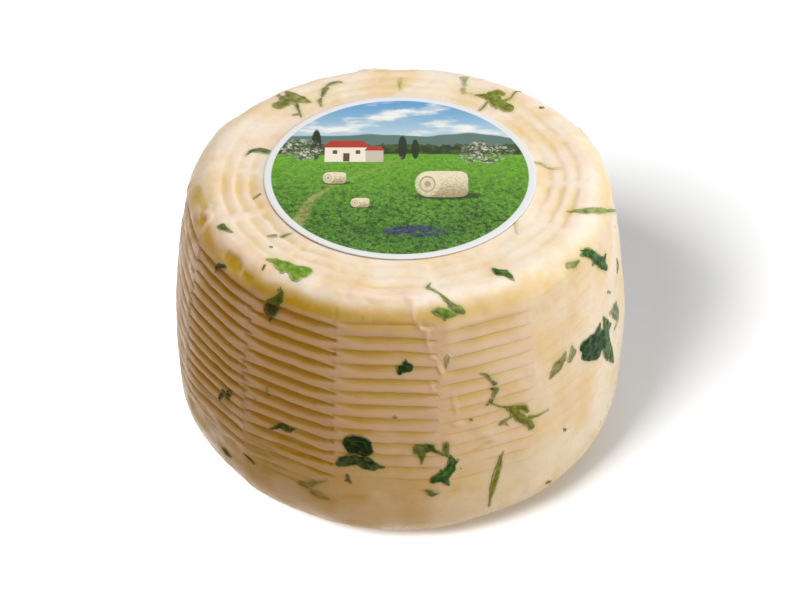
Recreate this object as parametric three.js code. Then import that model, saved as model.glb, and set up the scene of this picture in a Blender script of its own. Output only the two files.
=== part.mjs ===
// Primo sale with rocket: a young cheese turned out of a ribbed basket mould, a round paper
// label lying on its top, and torn rocket leaves set in its skin. Millimetres, +Z up, with the
// middle of the foot at the origin and the front of the wheel towards -Y.
import * as THREE from "three";

// The wheel
const wheelHeight = 110.5;
const topFlatRadius = 67.7;
const shoulderRadius = 11.4; // rounding between the top and the side
const widestRadius = 85.2; // where the side meets the rounded base
const sideBelly = 2.45; // how far the side swells past a plain cone
const baseTuck = 20; // how far the rounded base draws in above the foot
const baseRise = 26.8; // height of the rounded base
const swellWide = 0.45; // how far the round wheel strays, in long and in short waves
const swellNarrow = 0.3;
const facet = 0.33; // how flat each stave is, from round at 0 to a polygon's side at 1
const cornerSoftness = 2.5; // degrees

// The basket mould's marks: upright staves, each with its own troughs between ridges
const staveCount = 14;
const firstSeam = -16.3; // degrees from the front towards +X
const seamWidth = 1.2; // degrees of plain skin between two staves' troughs
const troughEnd = 2.2; // degrees in which a trough closes
const ridgeCount = 14;
const ridgePitch = 5.5;
const firstGroove = 80.4; // along the outline, from the middle of the top
const ridgeDepth = 1.5;
const lipPlace = 0.82; // the lip's place in one ridge, from a groove down to the next
const fadeFrom = 122; // along the outline, where the ridges run out
const fadeTo = 150;
const faintest = 0.25; // share of the depth that the outermost ridges keep
const ringCount = 4; // hollow rings round the label
const ringPitch = 5.3;
const firstRing = 51;
const ringTrough = 0.55; // the trough's place in one ring
const ringDepth = 0.75;

// Each stave's own ridges: how far they sit below the front stave's, in ridge pitches, and
// how deep they were pressed
const staveShifts = [0, 0.45, 0.55, 0.2, 0.6, 0.15, 0.5, 0, 0.4, 0.75, 0.3, 0.5, 0, 0.35];
const staveDepths = [0.5, 0.3, 0.15, 0.15, 0.3, 0.5, 0.7, 0.6, 0.8, 0.7, 0.85, 0.8, 1, 1];

// Where a stave's upright rows of vertices stand, as shares of its width
const columnPlaces = [0.02, 0.12, 0.37, 0.63, 0.88, 0.98];

const labelRadius = 50;
const labelThickness = 0.4;
const layGap = 0.3; // between the skin and what lies on it

const leafThickness = 0.7;
const leafWave = 0.35;

// Leaf forms: how full the outline is, its lobes, how deep they cut in, and its cross rows
const leafForms = {
  blade: { fullness: 0.9, lobes: 0, cut: 0, rows: 7 },
  lobed: { fullness: 0.45, lobes: 3, cut: 0.6, rows: 10 },
  torn: { fullness: 0.4, lobes: 2, cut: 0.35, rows: 7 },
  chip: { fullness: 0.35, lobes: 0, cut: 0, rows: 5 },
};

// Leaves that lie in the top and the front: degrees from the front, place along the outline,
// length, width, turn of the long axis in degrees, and how far the middle bows to one side
const shownLeaves = [
  ["lobed", -140.6, 64.8, 13.5, 8, -125, 0.5],
  ["blade", -135.6, 55.4, 6, 2, -81, 0.3],
  ["blade", -153.8, 59.2, 15, 2.6, -39, 0.6],
  ["torn", -106.9, 56, 7.6, 3.6, -103, 0.4],
  ["chip", -64.1, 69.7, 7.5, 3, -29, 0.2],
  ["torn", -36.6, 65.9, 17, 7.4, -6, 0.8],
  ["chip", -50.4, 56.6, 7.5, 1.8, -43, 0.2],
  ["chip", 179.8, 59.6, 7.8, 2.6, -88, 0.2],
  ["chip", 157.8, 64, 11.5, 3, -111, 0.5],
  ["lobed", 145.3, 63.2, 14.5, 8, 140, 0.6],
  ["blade", 97.8, 57, 9.5, 3.2, 98, 0.3],
  ["blade", 76.5, 73.4, 24, 3.4, 43, 0.8],
  ["chip", 53.7, 54.6, 5.6, 2.3, 137, 0.2],
  ["lobed", 64.2, 87, 24, 6.5, 45, 1.5],
  ["chip", 53.4, 78.2, 6.4, 3, 24, 0.2],
  ["chip", 80.7, 105.7, 6, 3.4, 103, 0.2],
  ["blade", 32, 68.1, 10, 3.6, 69, 0.7],
  ["blade", 12.9, 71, 13.5, 1.8, 53, 0.7],
  ["torn", 10.6, 78.3, 7.4, 3.2, 21, 0.3],
  ["lobed", 57, 119.5, 17, 11, -38, 0.8],
  ["torn", 68, 126, 20, 6.5, 72, 0.6],
  ["chip", 76, 112.2, 7.5, 4.6, 20, 0.2],
  ["chip", 78.5, 123.6, 7, 3, 22, 0.2],
  ["blade", 43.6, 113.5, 13, 4.6, -34, 0.6],
  ["chip", 1.2, 97.3, 5.2, 4.6, 75, 0.2],
  ["chip", 11.7, 96, 5.4, 2, 100, 0.2],
  ["blade", 22, 106, 7.2, 2, 45, 0.3],
  ["chip", 23.4, 114.5, 6.8, 2.4, 92, 0.3],
  ["lobed", 31.8, 128.9, 25, 6, 41, 1],
  ["torn", 8, 133.7, 14, 4.4, 0, -1],
  ["torn", 11, 145.1, 12, 4.6, 126, -1],
  ["blade", 24.2, 154.1, 25, 3.4, -83, 0.5],
  ["chip", 7, 155.4, 5.4, 2.2, 27, 0.2],
  ["torn", -9.5, 142.4, 17, 4.8, -8, 0.6],
  ["torn", -10.6, 133.8, 9.5, 8.6, 80, 0.3],
  ["torn", -21.2, 157.8, 13.6, 4.5, 13, 0.4],
  ["blade", -30.5, 134.3, 11.8, 3, -11, 0.4],
  ["torn", -49.1, 133.4, 8, 5, -38, 0.3],
  ["chip", -36.4, 122.7, 6.4, 2.6, 12, 0.2],
  ["chip", -51.3, 163.6, 6, 3.2, 30, 0.2],
  ["chip", -55.8, 81.6, 7.4, 2.6, -28, 0.2],
  ["torn", -34.1, 82, 14, 5.2, 101, -0.6],
];

// Leaves in the far side: each has a share of the turn and a height of its own, and a seeded
// draw sets the rest
const farLeafCount = 12;
const farFrom = 112; // degrees
const farTo = 270;
const farTop = 84; // along the outline
const farBottom = 166;
const farSeed = 11;

const cheeseMaterial = new THREE.MeshStandardMaterial({
  color: 0xead2a6,
  roughness: 0.38,
  metalness: 0,
});
const labelMaterial = new THREE.MeshStandardMaterial({
  color: 0xf1f0ea,
  roughness: 0.45,
  metalness: 0,
});
const leafMaterial = new THREE.MeshStandardMaterial({
  color: 0x3f7136,
  roughness: 0.5,
  metalness: 0,
});

const radians = Math.PI / 180;
const { lerp, smoothstep } = THREE.MathUtils;
const shoulderArc = (shoulderRadius * Math.PI) / 2;
const baseArc = (Math.PI / 2) * Math.hypot(baseTuck, baseRise) * Math.SQRT1_2;
const sideHeight = wheelHeight - shoulderRadius - baseRise;
const shoulderEnd = topFlatRadius + shoulderArc;
const sideEnd = shoulderEnd + sideHeight;
const footEdge = sideEnd + baseArc;
const footRadius = widestRadius - baseTuck;
const outlineLength = footEdge + footRadius;
const staveWidth = 360 / staveCount;

// A point of the outline, measured along it from the middle of the top to that of the foot.
function outlineAt(along) {
  if (along <= topFlatRadius) return { r: along, z: wheelHeight };
  if (along <= shoulderEnd) {
    const turn = (along - topFlatRadius) / shoulderRadius;
    return {
      r: topFlatRadius + shoulderRadius * Math.sin(turn),
      z: wheelHeight - shoulderRadius * (1 - Math.cos(turn)),
    };
  }
  if (along <= sideEnd) {
    const up = 1 - (along - shoulderEnd) / sideHeight;
    const cone = lerp(widestRadius, topFlatRadius + shoulderRadius, up);
    return { r: cone + sideBelly * 4 * up * (1 - up), z: baseRise + up * sideHeight };
  }
  if (along <= footEdge) {
    const turn = ((along - sideEnd) / baseArc) * (Math.PI / 2);
    return {
      r: widestRadius - baseTuck * (1 - Math.cos(turn)),
      z: baseRise * (1 - Math.sin(turn)),
    };
  }
  return { r: Math.max(outlineLength - along, 0), z: 0 };
}

// The outward direction of the outline, in the upright plane through the axis.
function outwardAt(along) {
  const step = 0.2;
  const before = outlineAt(Math.max(along - step, 0));
  const after = outlineAt(Math.min(along + step, outlineLength));
  const length = Math.hypot(after.r - before.r, after.z - before.z);
  return { r: (before.z - after.z) / length, z: (after.r - before.r) / length };
}

// How far off the nearest seam between two staves, in degrees.
function seamOffset(azimuth) {
  const place = (azimuth - firstSeam) / staveWidth;
  return Math.abs(place - Math.round(place)) * staveWidth;
}

// The wheel is a little uneven and its staves are a little flat, but it is even under the
// label and at the foot.
function swellAt(azimuth, along) {
  const a = azimuth * radians;
  const half = (staveWidth / 2) * radians;
  const offset = Math.hypot(seamOffset(azimuth), cornerSoftness) * radians;
  const corner = Math.cos(half) / Math.cos(half - offset);
  const flat = facet * widestRadius * (corner - (2 + Math.cos(half)) / 3);
  const waves =
    swellWide * Math.sin(3 * a + 1) + swellNarrow * Math.sin(5 * a + along / 26 + 2);
  const fade =
    smoothstep(along, firstRing, shoulderEnd) * (1 - smoothstep(along, sideEnd, footEdge - 2));
  return fade * (waves + flat);
}

// A point of the wheel's skin, lifted off it by so many millimetres.
function skinPoint(azimuth, along, lift) {
  const place = outlineAt(along);
  const outward = outwardAt(along);
  const off = lift + swellAt(azimuth, along);
  const r = place.r + outward.r * off;
  const a = azimuth * radians;
  return [r * Math.sin(a), -r * Math.cos(a), place.z + outward.z * off];
}

// Each row runs round the wheel: its place along the outline, how deep it lies, and whether it
// follows its stave's own ridges.
function wheelRows() {
  const rows = [{ along: 0 }, { along: 26 }, { along: labelRadius - 2 }];
  for (let ring = 0; ring < ringCount; ring++) {
    const crest = firstRing + ring * ringPitch;
    rows.push({ along: crest, dip: 0.12, ring: true });
    rows.push({ along: crest + ringPitch * ringTrough, dip: 1, ring: true });
  }
  rows.push({ along: firstRing + ringCount * ringPitch }, { along: 75.2 });
  for (let ridge = 0; ridge < ridgeCount; ridge++) {
    const groove = firstGroove + ridge * ridgePitch;
    rows.push({ along: groove - ridgePitch * (1 - lipPlace), dip: 0, ridge: true });
    rows.push({ along: groove, dip: 1, ridge: true });
  }
  const lastGroove = firstGroove + (ridgeCount - 1) * ridgePitch;
  rows.push({ along: lastGroove + 6 });
  for (const share of [0.12, 0.36, 0.58, 0.78, 0.92, 1])
    rows.push({ along: lerp(sideEnd, footEdge, share) });
  rows.push({ along: outlineLength });
  return rows;
}

// The first of a stave's ridges runs in, and the lowest run out.
function ridgeDipAt(stave, along) {
  const fade =
    smoothstep(along, firstGroove - 3, firstGroove + 5) * (1 - smoothstep(along, fadeFrom, fadeTo));
  return ridgeDepth * staveDepths[stave] * lerp(faintest, 1, fade);
}

// Troughs are open along a stave and close at its seams.
function openAt(azimuth) {
  return smoothstep(seamOffset(azimuth), seamWidth / 2, seamWidth / 2 + troughEnd);
}

function makeWheel() {
  const rows = wheelRows().reverse();
  const columns = staveCount * columnPlaces.length;
  const profile = rows.map(({ along }) => {
    const place = outlineAt(along);
    return new THREE.Vector2(place.r, place.z);
  });
  const geometry = new THREE.LatheGeometry(profile, columns);
  const position = geometry.getAttribute("position");
  for (let i = 0; i < position.count; i++) {
    const column = Math.floor(i / rows.length) % columns;
    const stave = Math.floor(column / columnPlaces.length);
    const share = columnPlaces[column % columnPlaces.length];
    const azimuth = firstSeam + (stave + share) * staveWidth;
    const row = rows[i % rows.length];
    const shift = row.ridge ? staveShifts[stave] * ridgePitch : 0;
    const along = row.along + shift;
    let dip = 0;
    if (row.ridge) dip = row.dip * ridgeDipAt(stave, along);
    if (row.ring) dip = row.dip * ringDepth;
    position.setXYZ(i, ...skinPoint(azimuth, along, -dip * openAt(azimuth)));
  }
  return named("cheese_wheel", geometry, cheeseMaterial);
}

function makeLabel() {
  const disc = new THREE.CylinderGeometry(labelRadius, labelRadius, labelThickness, 72);
  disc.rotateX(Math.PI / 2);
  const label = named("label", disc, labelMaterial);
  label.position.z = wheelHeight + layGap + labelThickness / 2;
  return label;
}

// Half the leaf's width at a share of its length, on one of its two sides.
function leafHalfWidth(form, width, share, side) {
  const full = Math.sin(Math.PI * lerp(0.07, 0.93, share)) ** form.fullness;
  const wave = 0.5 - 0.5 * Math.cos(2 * Math.PI * (form.lobes * share + 0.2 * side));
  return (width / 2) * full * (1 - form.cut * wave);
}

// One leaf: a thin wavy strip with a middle line, its two faces split into triangles alike.
function leafGeometry([kind, azimuth, along, length, width, turn, bow]) {
  const form = leafForms[kind];
  const arc = outlineAt(along).r * radians; // millimetres in a degree of azimuth
  const cos = Math.cos(turn * radians);
  const sin = Math.sin(turn * radians);
  const points = [];
  for (let row = 0; row < form.rows; row++) {
    const share = row / (form.rows - 1);
    const onward = (share - 0.5) * length;
    for (const side of [-1, 0, 1]) {
      const half = leafHalfWidth(form, width, share, side);
      const across = bow * (1 - (2 * share - 1) ** 2) + side * half;
      const round = (onward * cos - across * sin) / arc;
      const down = onward * sin + across * cos;
      const wave = leafWave * (0.5 + 0.5 * Math.sin(5 * share + 1.7 * side + along));
      for (const rise of [0, leafThickness])
        points.push(...skinPoint(azimuth + round, along + down, layGap + wave + rise));
    }
  }
  const geometry = new THREE.BufferGeometry();
  geometry.setAttribute("position", new THREE.Float32BufferAttribute(points, 3));
  geometry.setIndex(leafFaces(form.rows));
  return geometry;
}

function leafFaces(rows) {
  const at = (row, side, outer) => (row * 3 + side) * 2 + outer;
  const faces = [];
  const quad = (a, b, c, d) => faces.push(a, b, c, a, c, d);
  for (let row = 0; row < rows - 1; row++) {
    for (const side of [0, 1]) {
      const outer = [at(row, side, 1), at(row, side + 1, 1), at(row + 1, side + 1, 1)];
      quad(outer[0], outer[1], outer[2], at(row + 1, side, 1));
      const inner = [at(row, side, 0), at(row, side + 1, 0), at(row + 1, side + 1, 0)];
      faces.push(inner[0], inner[2], inner[1]);
      faces.push(inner[0], at(row + 1, side, 0), inner[2]);
    }
    quad(at(row, 0, 0), at(row, 0, 1), at(row + 1, 0, 1), at(row + 1, 0, 0));
    quad(at(row, 2, 1), at(row, 2, 0), at(row + 1, 2, 0), at(row + 1, 2, 1));
  }
  const last = rows - 1;
  for (const side of [0, 1]) {
    quad(at(0, side, 0), at(0, side + 1, 0), at(0, side + 1, 1), at(0, side, 1));
    quad(at(last, side, 1), at(last, side + 1, 1), at(last, side + 1, 0), at(last, side, 0));
  }
  return faces;
}

// A small repeatable source of draws from 0 to 1.
function seededDraws(seed) {
  let state = seed;
  return () => {
    state = (Math.imul(state, 1664525) + 1013904223) >>> 0;
    return state / 2 ** 32;
  };
}

function farLeaves() {
  const draw = seededDraws(farSeed);
  const kinds = Object.keys(leafForms);
  return Array.from({ length: farLeafCount }, (_, i) => {
    const azimuth = lerp(farFrom, farTo, (i + 0.2 + 0.6 * draw()) / farLeafCount);
    const height = ((i * 5) % farLeafCount) / (farLeafCount - 1);
    const along = lerp(farTop, farBottom, height) + 4 * (draw() - 0.5);
    const kind = kinds[Math.floor(draw() * kinds.length)];
    const length = kind === "chip" ? lerp(5, 8, draw()) : lerp(11, 21, draw());
    const width = kind === "blade" ? length * 0.2 : length * lerp(0.34, 0.55, draw());
    return [kind, azimuth, along, length, width, 360 * draw(), 2 * draw() - 1];
  });
}

function named(name, geometry, material) {
  const mesh = new THREE.Mesh(geometry, material);
  mesh.name = name;
  return mesh;
}

const primoSale = new THREE.Group();
primoSale.add(makeWheel(), makeLabel());
[...shownLeaves, ...farLeaves()].forEach((leaf, i) => {
  const name = `leaf_${String(i + 1).padStart(2, "0")}`;
  primoSale.add(named(name, leafGeometry(leaf), leafMaterial));
});

export default primoSale;
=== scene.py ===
import math

import bpy
import numpy as np
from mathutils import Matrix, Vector
from mathutils.kdtree import KDTree


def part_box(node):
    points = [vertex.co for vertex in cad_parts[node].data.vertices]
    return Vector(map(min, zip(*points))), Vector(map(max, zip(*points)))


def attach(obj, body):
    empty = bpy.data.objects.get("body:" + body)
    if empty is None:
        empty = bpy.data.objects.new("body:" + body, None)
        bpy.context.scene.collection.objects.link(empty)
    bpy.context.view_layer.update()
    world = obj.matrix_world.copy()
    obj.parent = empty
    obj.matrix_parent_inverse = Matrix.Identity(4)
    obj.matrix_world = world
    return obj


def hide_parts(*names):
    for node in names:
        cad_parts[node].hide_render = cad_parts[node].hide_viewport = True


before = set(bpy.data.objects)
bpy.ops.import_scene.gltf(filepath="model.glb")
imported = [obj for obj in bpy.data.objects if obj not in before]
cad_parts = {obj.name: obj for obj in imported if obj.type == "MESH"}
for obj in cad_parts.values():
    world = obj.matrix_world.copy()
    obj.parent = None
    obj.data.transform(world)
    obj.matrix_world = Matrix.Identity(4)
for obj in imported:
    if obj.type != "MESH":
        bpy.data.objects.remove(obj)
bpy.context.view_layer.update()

mm = 0.001
degree = math.pi / 180


def smoothStep(value, low, high):
    share = np.clip((value - low) / (high - low), 0, 1)
    return share * share * (3 - 2 * share)


def lerp(first, second, share):
    return first + (second - first) * share


def bell(offset, width):
    return np.exp(-((offset / width) ** 2))


# 1 between a slope up and a slope down, and 0 outside them
def between(value, low, lowEnd, high, highEnd):
    return smoothStep(value, low, lowEnd) * (1 - smoothStep(value, high, highEnd))


# An azimuth from -180 to 180
def wrapped(azimuth):
    return (azimuth + 180) % 360 - 180


# Smooth values from -1 to 1 that close up round the wheel
def softNoise(azimuth, along, cellsRound, cellLength, seed):
    rows = int(290 / cellLength) + 3
    table = np.random.RandomState(seed).uniform(-1, 1, (cellsRound, rows))
    x = (azimuth / 360 % 1) * cellsRound
    y = np.clip(along, 0, 280) / cellLength
    column = np.floor(x).astype(int)
    row = np.floor(y).astype(int)
    across = smoothStep(x - column, 0, 1)
    down = smoothStep(y - row, 0, 1)
    column = column % cellsRound
    beside = (column + 1) % cellsRound
    near = lerp(table[column, row], table[column, row + 1], down)
    far = lerp(table[beside, row], table[beside, row + 1], down)
    return lerp(near, far, across)


cameraSet = {
    "place": (0, -812.5, 709.4),
    "pitch": 38.86,  # degrees below level
    "focal": 2749.4,  # in pixels of the picture
    "picture": (800, 589),
    "sensor": 36,
}


def makeCamera():
    data = bpy.data.cameras.new("camera")
    data.sensor_width = cameraSet["sensor"]
    data.lens = cameraSet["focal"] * cameraSet["sensor"] / cameraSet["picture"][0]
    data.clip_start = 0.05
    data.clip_end = 20
    camera = bpy.data.objects.new("camera", data)
    bpy.context.scene.collection.objects.link(camera)
    camera.location = Vector(cameraSet["place"]) * mm
    camera.rotation_euler = ((90 - cameraSet["pitch"]) * degree, 0, 0)
    bpy.context.scene.camera = camera


wheel = {
    "height": 110.5,
    "topFlatRadius": 67.7,
    "shoulderRadius": 11.4,
    "widestRadius": 85.2,
    "sideBelly": 2.45,
    "baseTuck": 20,
    "baseRise": 26.8,
    "swellWide": 0.45,
    "swellNarrow": 0.3,
    "facet": 0.26,  # how flat each stave is, 1 for a polygon's sides
    "cornerSoftness": 2.5,  # degrees
}

shoulderArc = wheel["shoulderRadius"] * math.pi / 2
baseArc = math.pi / 2 * math.hypot(wheel["baseTuck"], wheel["baseRise"]) * math.sqrt(0.5)
sideHeight = wheel["height"] - wheel["shoulderRadius"] - wheel["baseRise"]
sideTopRadius = wheel["topFlatRadius"] + wheel["shoulderRadius"]
shoulderEnd = wheel["topFlatRadius"] + shoulderArc
sideEnd = shoulderEnd + sideHeight
footEdge = sideEnd + baseArc
outlineLength = footEdge + wheel["widestRadius"] - wheel["baseTuck"]


def outlineAt(along):
    along = np.clip(np.asarray(along, float), 0, outlineLength)
    turn = (along - wheel["topFlatRadius"]) / wheel["shoulderRadius"]
    up = 1 - (along - shoulderEnd) / sideHeight
    tuck = (along - sideEnd) / baseArc * math.pi / 2
    belly = wheel["sideBelly"] * 4 * up * (1 - up)
    ends = (wheel["topFlatRadius"], shoulderEnd, sideEnd, footEdge)
    stretch = [along <= end for end in ends]
    radius = np.select(stretch, [
        along,
        wheel["topFlatRadius"] + wheel["shoulderRadius"] * np.sin(turn),
        lerp(wheel["widestRadius"], sideTopRadius, up) + belly,
        wheel["widestRadius"] - wheel["baseTuck"] * (1 - np.cos(tuck)),
    ], outlineLength - along)
    height = np.select(stretch, [
        np.full_like(along, wheel["height"]),
        wheel["height"] - wheel["shoulderRadius"] * (1 - np.cos(turn)),
        wheel["baseRise"] + up * sideHeight,
        wheel["baseRise"] * (1 - np.sin(tuck)),
    ], 0.0)
    return radius, height


# Millimetres round the wheel in one degree
def arcAt(along):
    return float(outlineAt(along)[0]) * degree


# The way out of the skin, in the upright plane through the axis
def outwardAt(along):
    step = 0.2
    innerRadius, innerHeight = outlineAt(along - step)
    outerRadius, outerHeight = outlineAt(along + step)
    outRadius = innerHeight - outerHeight
    outHeight = outerRadius - innerRadius
    size = np.hypot(outRadius, outHeight)
    return outRadius / size, outHeight / size


def swellAt(azimuth, along):
    turn = azimuth * degree
    fade = between(along, relief["firstRing"], shoulderEnd, sideEnd, footEdge - 2)
    wide = wheel["swellWide"] * np.sin(3 * turn + 1)
    narrow = wheel["swellNarrow"] * np.sin(5 * turn + along / 26 + 2)
    half = staveWidth / 2 * degree
    offset = np.hypot(seamOffset(azimuth), wheel["cornerSoftness"]) * degree
    corner = math.cos(half) / np.cos(half - offset)
    facet = wheel["facet"] * wheel["widestRadius"] * (corner - (2 + math.cos(half)) / 3)
    return fade * (wide + narrow + facet)


relief = {
    "staves": 14,
    "firstSeam": -16.3,
    "taper": 8,  # degrees before a seam where a trough starts to narrow
    "seamOverlap": 2.2,  # degrees that its point reaches over the seam
    "ridges": 14,
    "ridgePitch": 5.5,
    "firstGroove": 80.4,
    "ridgeDepth": 1.5,
    "fadeFrom": 124,
    "fadeTo": 156,
    "brokenEnd": (150, 166),  # where the last broken bits of the ridges end
    "arch": 0.2,  # how far a trough's ends sag, in ridge pitches
    "tilt": 0.08,
    "tiltSeed": 5,
    "ringPitch": 5.3,
    "firstRing": 51,
    "ringDepth": 0.52,
    "waver": 0.3,  # how far a ridge strays up and down
    "lumps": 0.3,
    "streaks": 0.5,  # depth of the short hollows under the ridges
    "grain": 0.06,
    "scar": 0.35,  # rise of the scars that the seams of the basket left
}

# Each stave's own marks: how far its ridges sit below the front stave's and how much of that is
# lost eight ridges further down, in ridge pitches, and how deep its ridges and its rings are
staveShifts = [0, 0.45, 0.15, 0.2, 0.6, 0.15, 0.5, 0, 0.4, 0.75, 0.3, 0.5, 0, 0.35]
staveDrifts = [0.05, 0.2, 0.1, 0, 0.2, -0.1, 0.1, 0.3, 0, -0.2, 0.2, 0.1, 0.72, 0.24]
staveDepths = [0.5, 0.28, 0.09, 0.06, 0.3, 0.5, 0.7, 0.6, 0.8, 0.7, 0.85, 0.8, 1, 1]
staveRings = [0.5, 0.3, 0.35, 0.9, 1, 0.8, 0.4, 0.5, 0.4, 0.2, 0.4, 0.9, 1, 0.7]

# One ridge down from the edge under the lip above: a trough that runs out to a broad lip where
# the ridges are deep, and a crease where they are shallow
ridgeShares = [0, 0.06, 0.14, 0.28, 0.42, 0.56, 0.76, 0.9, 0.96, 1]
deepDips = [0.85, 1, 0.97, 0.8, 0.48, 0.16, -0.04, 0, 0.2, 0.85]
creaseDips = [0.8, 1, 0.6, 0.36, 0.22, 0.1, 0, 0, 0.12, 0.8]
# One ring outwards: a crest that slopes down to a trough, then a steep rise
ringShares = [0, 0.2, 0.45, 0.56, 0.66, 0.8, 1]
ringDips = [0.15, 0.4, 0.85, 1, 0.6, 0, 0.15]

# Where along the outline a mark fades in and where it fades out
zones = {
    "ringDrop": (49, 53, 68, 73),
    "ridgeDrop": (74, 80, 158, 176),
    "skin": (50.5, 56, footEdge - 6, footEdge),
    "ridged": (78, 84, 135, 155),
    "rings": (relief["firstRing"] - 1, relief["firstRing"] + 1, 65, 70),
    "streaks": (126, 140, 158, 172),
}

# Layers of unevenness: cells round the wheel, length of a cell and seed
layers = {
    "waver": (36, 17, 21),
    "shortWaver": (130, 9, 22),
    "seam": (28, 3, 23),
    "broken": (44, 5.5, 30),
    "patchy": (40, 12, 31),
    "rings": (22, 9, 32),
    "lumps": (34, 16, 34),
    "smallLumps": (90, 7, 35),
    "grain": (240, 2.4, 36),
    "scar": (56, 2.6, 38),
    "band": (40, 30, 39),
    "shortBand": (120, 5, 40),
    "marks": (150, 3.1, 41),
    "streaks": (38, 2.6, 43),
    "rind": (46, 40, 51),
    "shortRind": (140, 6, 52),
}

staveWidth = 360 / relief["staves"]
lastGroove = relief["firstGroove"] + (relief["ridges"] - 1) * relief["ridgePitch"]
tiltDraw = np.random.RandomState(relief["tiltSeed"])
staveTilts = tiltDraw.uniform(-1, 1, relief["staves"]) * relief["tilt"]


def uneven(name, azimuth, along):
    return softNoise(azimuth, along, *layers[name])


# A number that each stave has, smoothly from the middle of one to the next
def aroundStaves(azimuth, numbers):
    middles = relief["firstSeam"] + (np.arange(relief["staves"]) + 0.5) * staveWidth
    return np.interp(azimuth, middles, numbers, period=360)


# How far off the nearest seam, in degrees
def seamOffset(azimuth):
    place = (azimuth - relief["firstSeam"]) / staveWidth
    return (place - np.round(place)) * staveWidth


# What each stave has of its own, blended from one to the next over their seam
def overStaves(azimuth, ownValue):
    place = (azimuth - relief["firstSeam"]) / staveWidth
    stave = np.floor(place).astype(int)
    share = place - stave
    blend = 0.03
    own = ownValue(stave, share)
    onward = ownValue(stave + 1, share - 1)
    back = ownValue(stave - 1, share + 1)
    toOnward = smoothStep(share, 1 - blend, 1 + blend)
    toBack = 1 - smoothStep(share, -blend, blend)
    return own + (onward - own) * toOnward + (back - own) * toBack


# How far a stave's ridges sit below their even places, in ridge pitches
def staveShift(stave, share, base):
    stave = stave % relief["staves"]
    lower = np.clip((base - relief["firstGroove"]) / (8 * relief["ridgePitch"]), 0, 1.4)
    sag = relief["arch"] * np.clip(2 * share - 1, -1.1, 1.1) ** 2
    drift = np.array(staveDrifts)[stave] * (0.5 - lower)
    return np.array(staveShifts)[stave] + drift + staveTilts[stave] * (share - 0.5) + sag


# Where a row of the skin really runs, against its even place
def warpBy(azimuth, base, shift):
    onTop = between(base, *zones["ringDrop"])
    onSide = between(base, *zones["ridgeDrop"])
    waver = uneven("waver", azimuth, base) + 0.5 * uneven("shortWaver", azimuth, base)
    drop = 0.2 * relief["ringPitch"] * onTop + relief["ridgePitch"] * onSide
    return shift * drop + relief["waver"] * waver * (2.2 * onTop + onSide)


def warpAt(azimuth, base):
    shift = overStaves(azimuth, lambda stave, share: staveShift(stave, share, base))
    return warpBy(azimuth, base, shift)


# The even place of a row that really runs at a place, given how far rows are warped there
def unwarped(along, warp):
    base = along
    for _ in range(4):
        base = along - warp(base)
    return base


# How deep the ridges are: deep on the left of the front, nearly gone on its right, and
# broken up where they run out below
def ridgeStrength(azimuth, along):
    depths = np.array(staveDepths)
    depth = overStaves(azimuth, lambda stave, share: depths[stave % relief["staves"]])
    first = smoothStep(along, relief["firstGroove"] - 4, relief["firstGroove"] + 3)
    below = smoothStep(along - 10 * depth, relief["fadeFrom"] - 3, relief["fadeTo"] - 3)
    broken = smoothStep(uneven("broken", azimuth, along), -0.4, 0.5)
    patchy = 1 + 0.25 * uneven("patchy", azimuth, along)
    end = 1 - smoothStep(along, *relief["brokenEnd"])
    return depth * patchy * lerp(0.35, 1, first) * (1 - below * (1 - 0.9 * broken * end))


# How deep in a trough each place is, from 0 to 1. Troughs narrow to a point at the seams of
# their stave and reach a little over them.
def troughAt(azimuth, along, strength):
    place = (azimuth - relief["firstSeam"]) / staveWidth
    own = np.floor(place).astype(int)
    deepest = np.zeros_like(along)
    for stave in (own, own + np.where(place - own < 0.5, -1, 1)):
        share = place - stave
        base = unwarped(along, lambda row: warpBy(azimuth, row, staveShift(stave, share, row)))
        inRidges = (base >= relief["firstGroove"] - 0.3) & (base < lastGroove + relief["ridgePitch"])
        phase = (base - relief["firstGroove"]) / relief["ridgePitch"]
        phase -= np.floor(phase)
        past = (np.abs(share - 0.5) - 0.5) * staveWidth
        past += 0.8 * uneven("seam", azimuth, along)
        width = lerp(1, 0.15, smoothStep(past, -relief["taper"], relief["seamOverlap"]))
        opened = 1 - smoothStep(past, lerp(-6, -1, np.clip(strength, 0, 1)), relief["seamOverlap"])
        narrow = np.where(phase < 0.9, np.minimum(phase / width, 0.9), phase)
        crease = np.interp(narrow, ridgeShares, creaseDips)
        deep = np.interp(narrow, ridgeShares, deepDips)
        dip = lerp(crease, deep, smoothStep(strength, 0.3, 0.9)) * inRidges * opened
        deepest = np.where(np.abs(dip) > deepest, dip, deepest)
    return deepest


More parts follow.
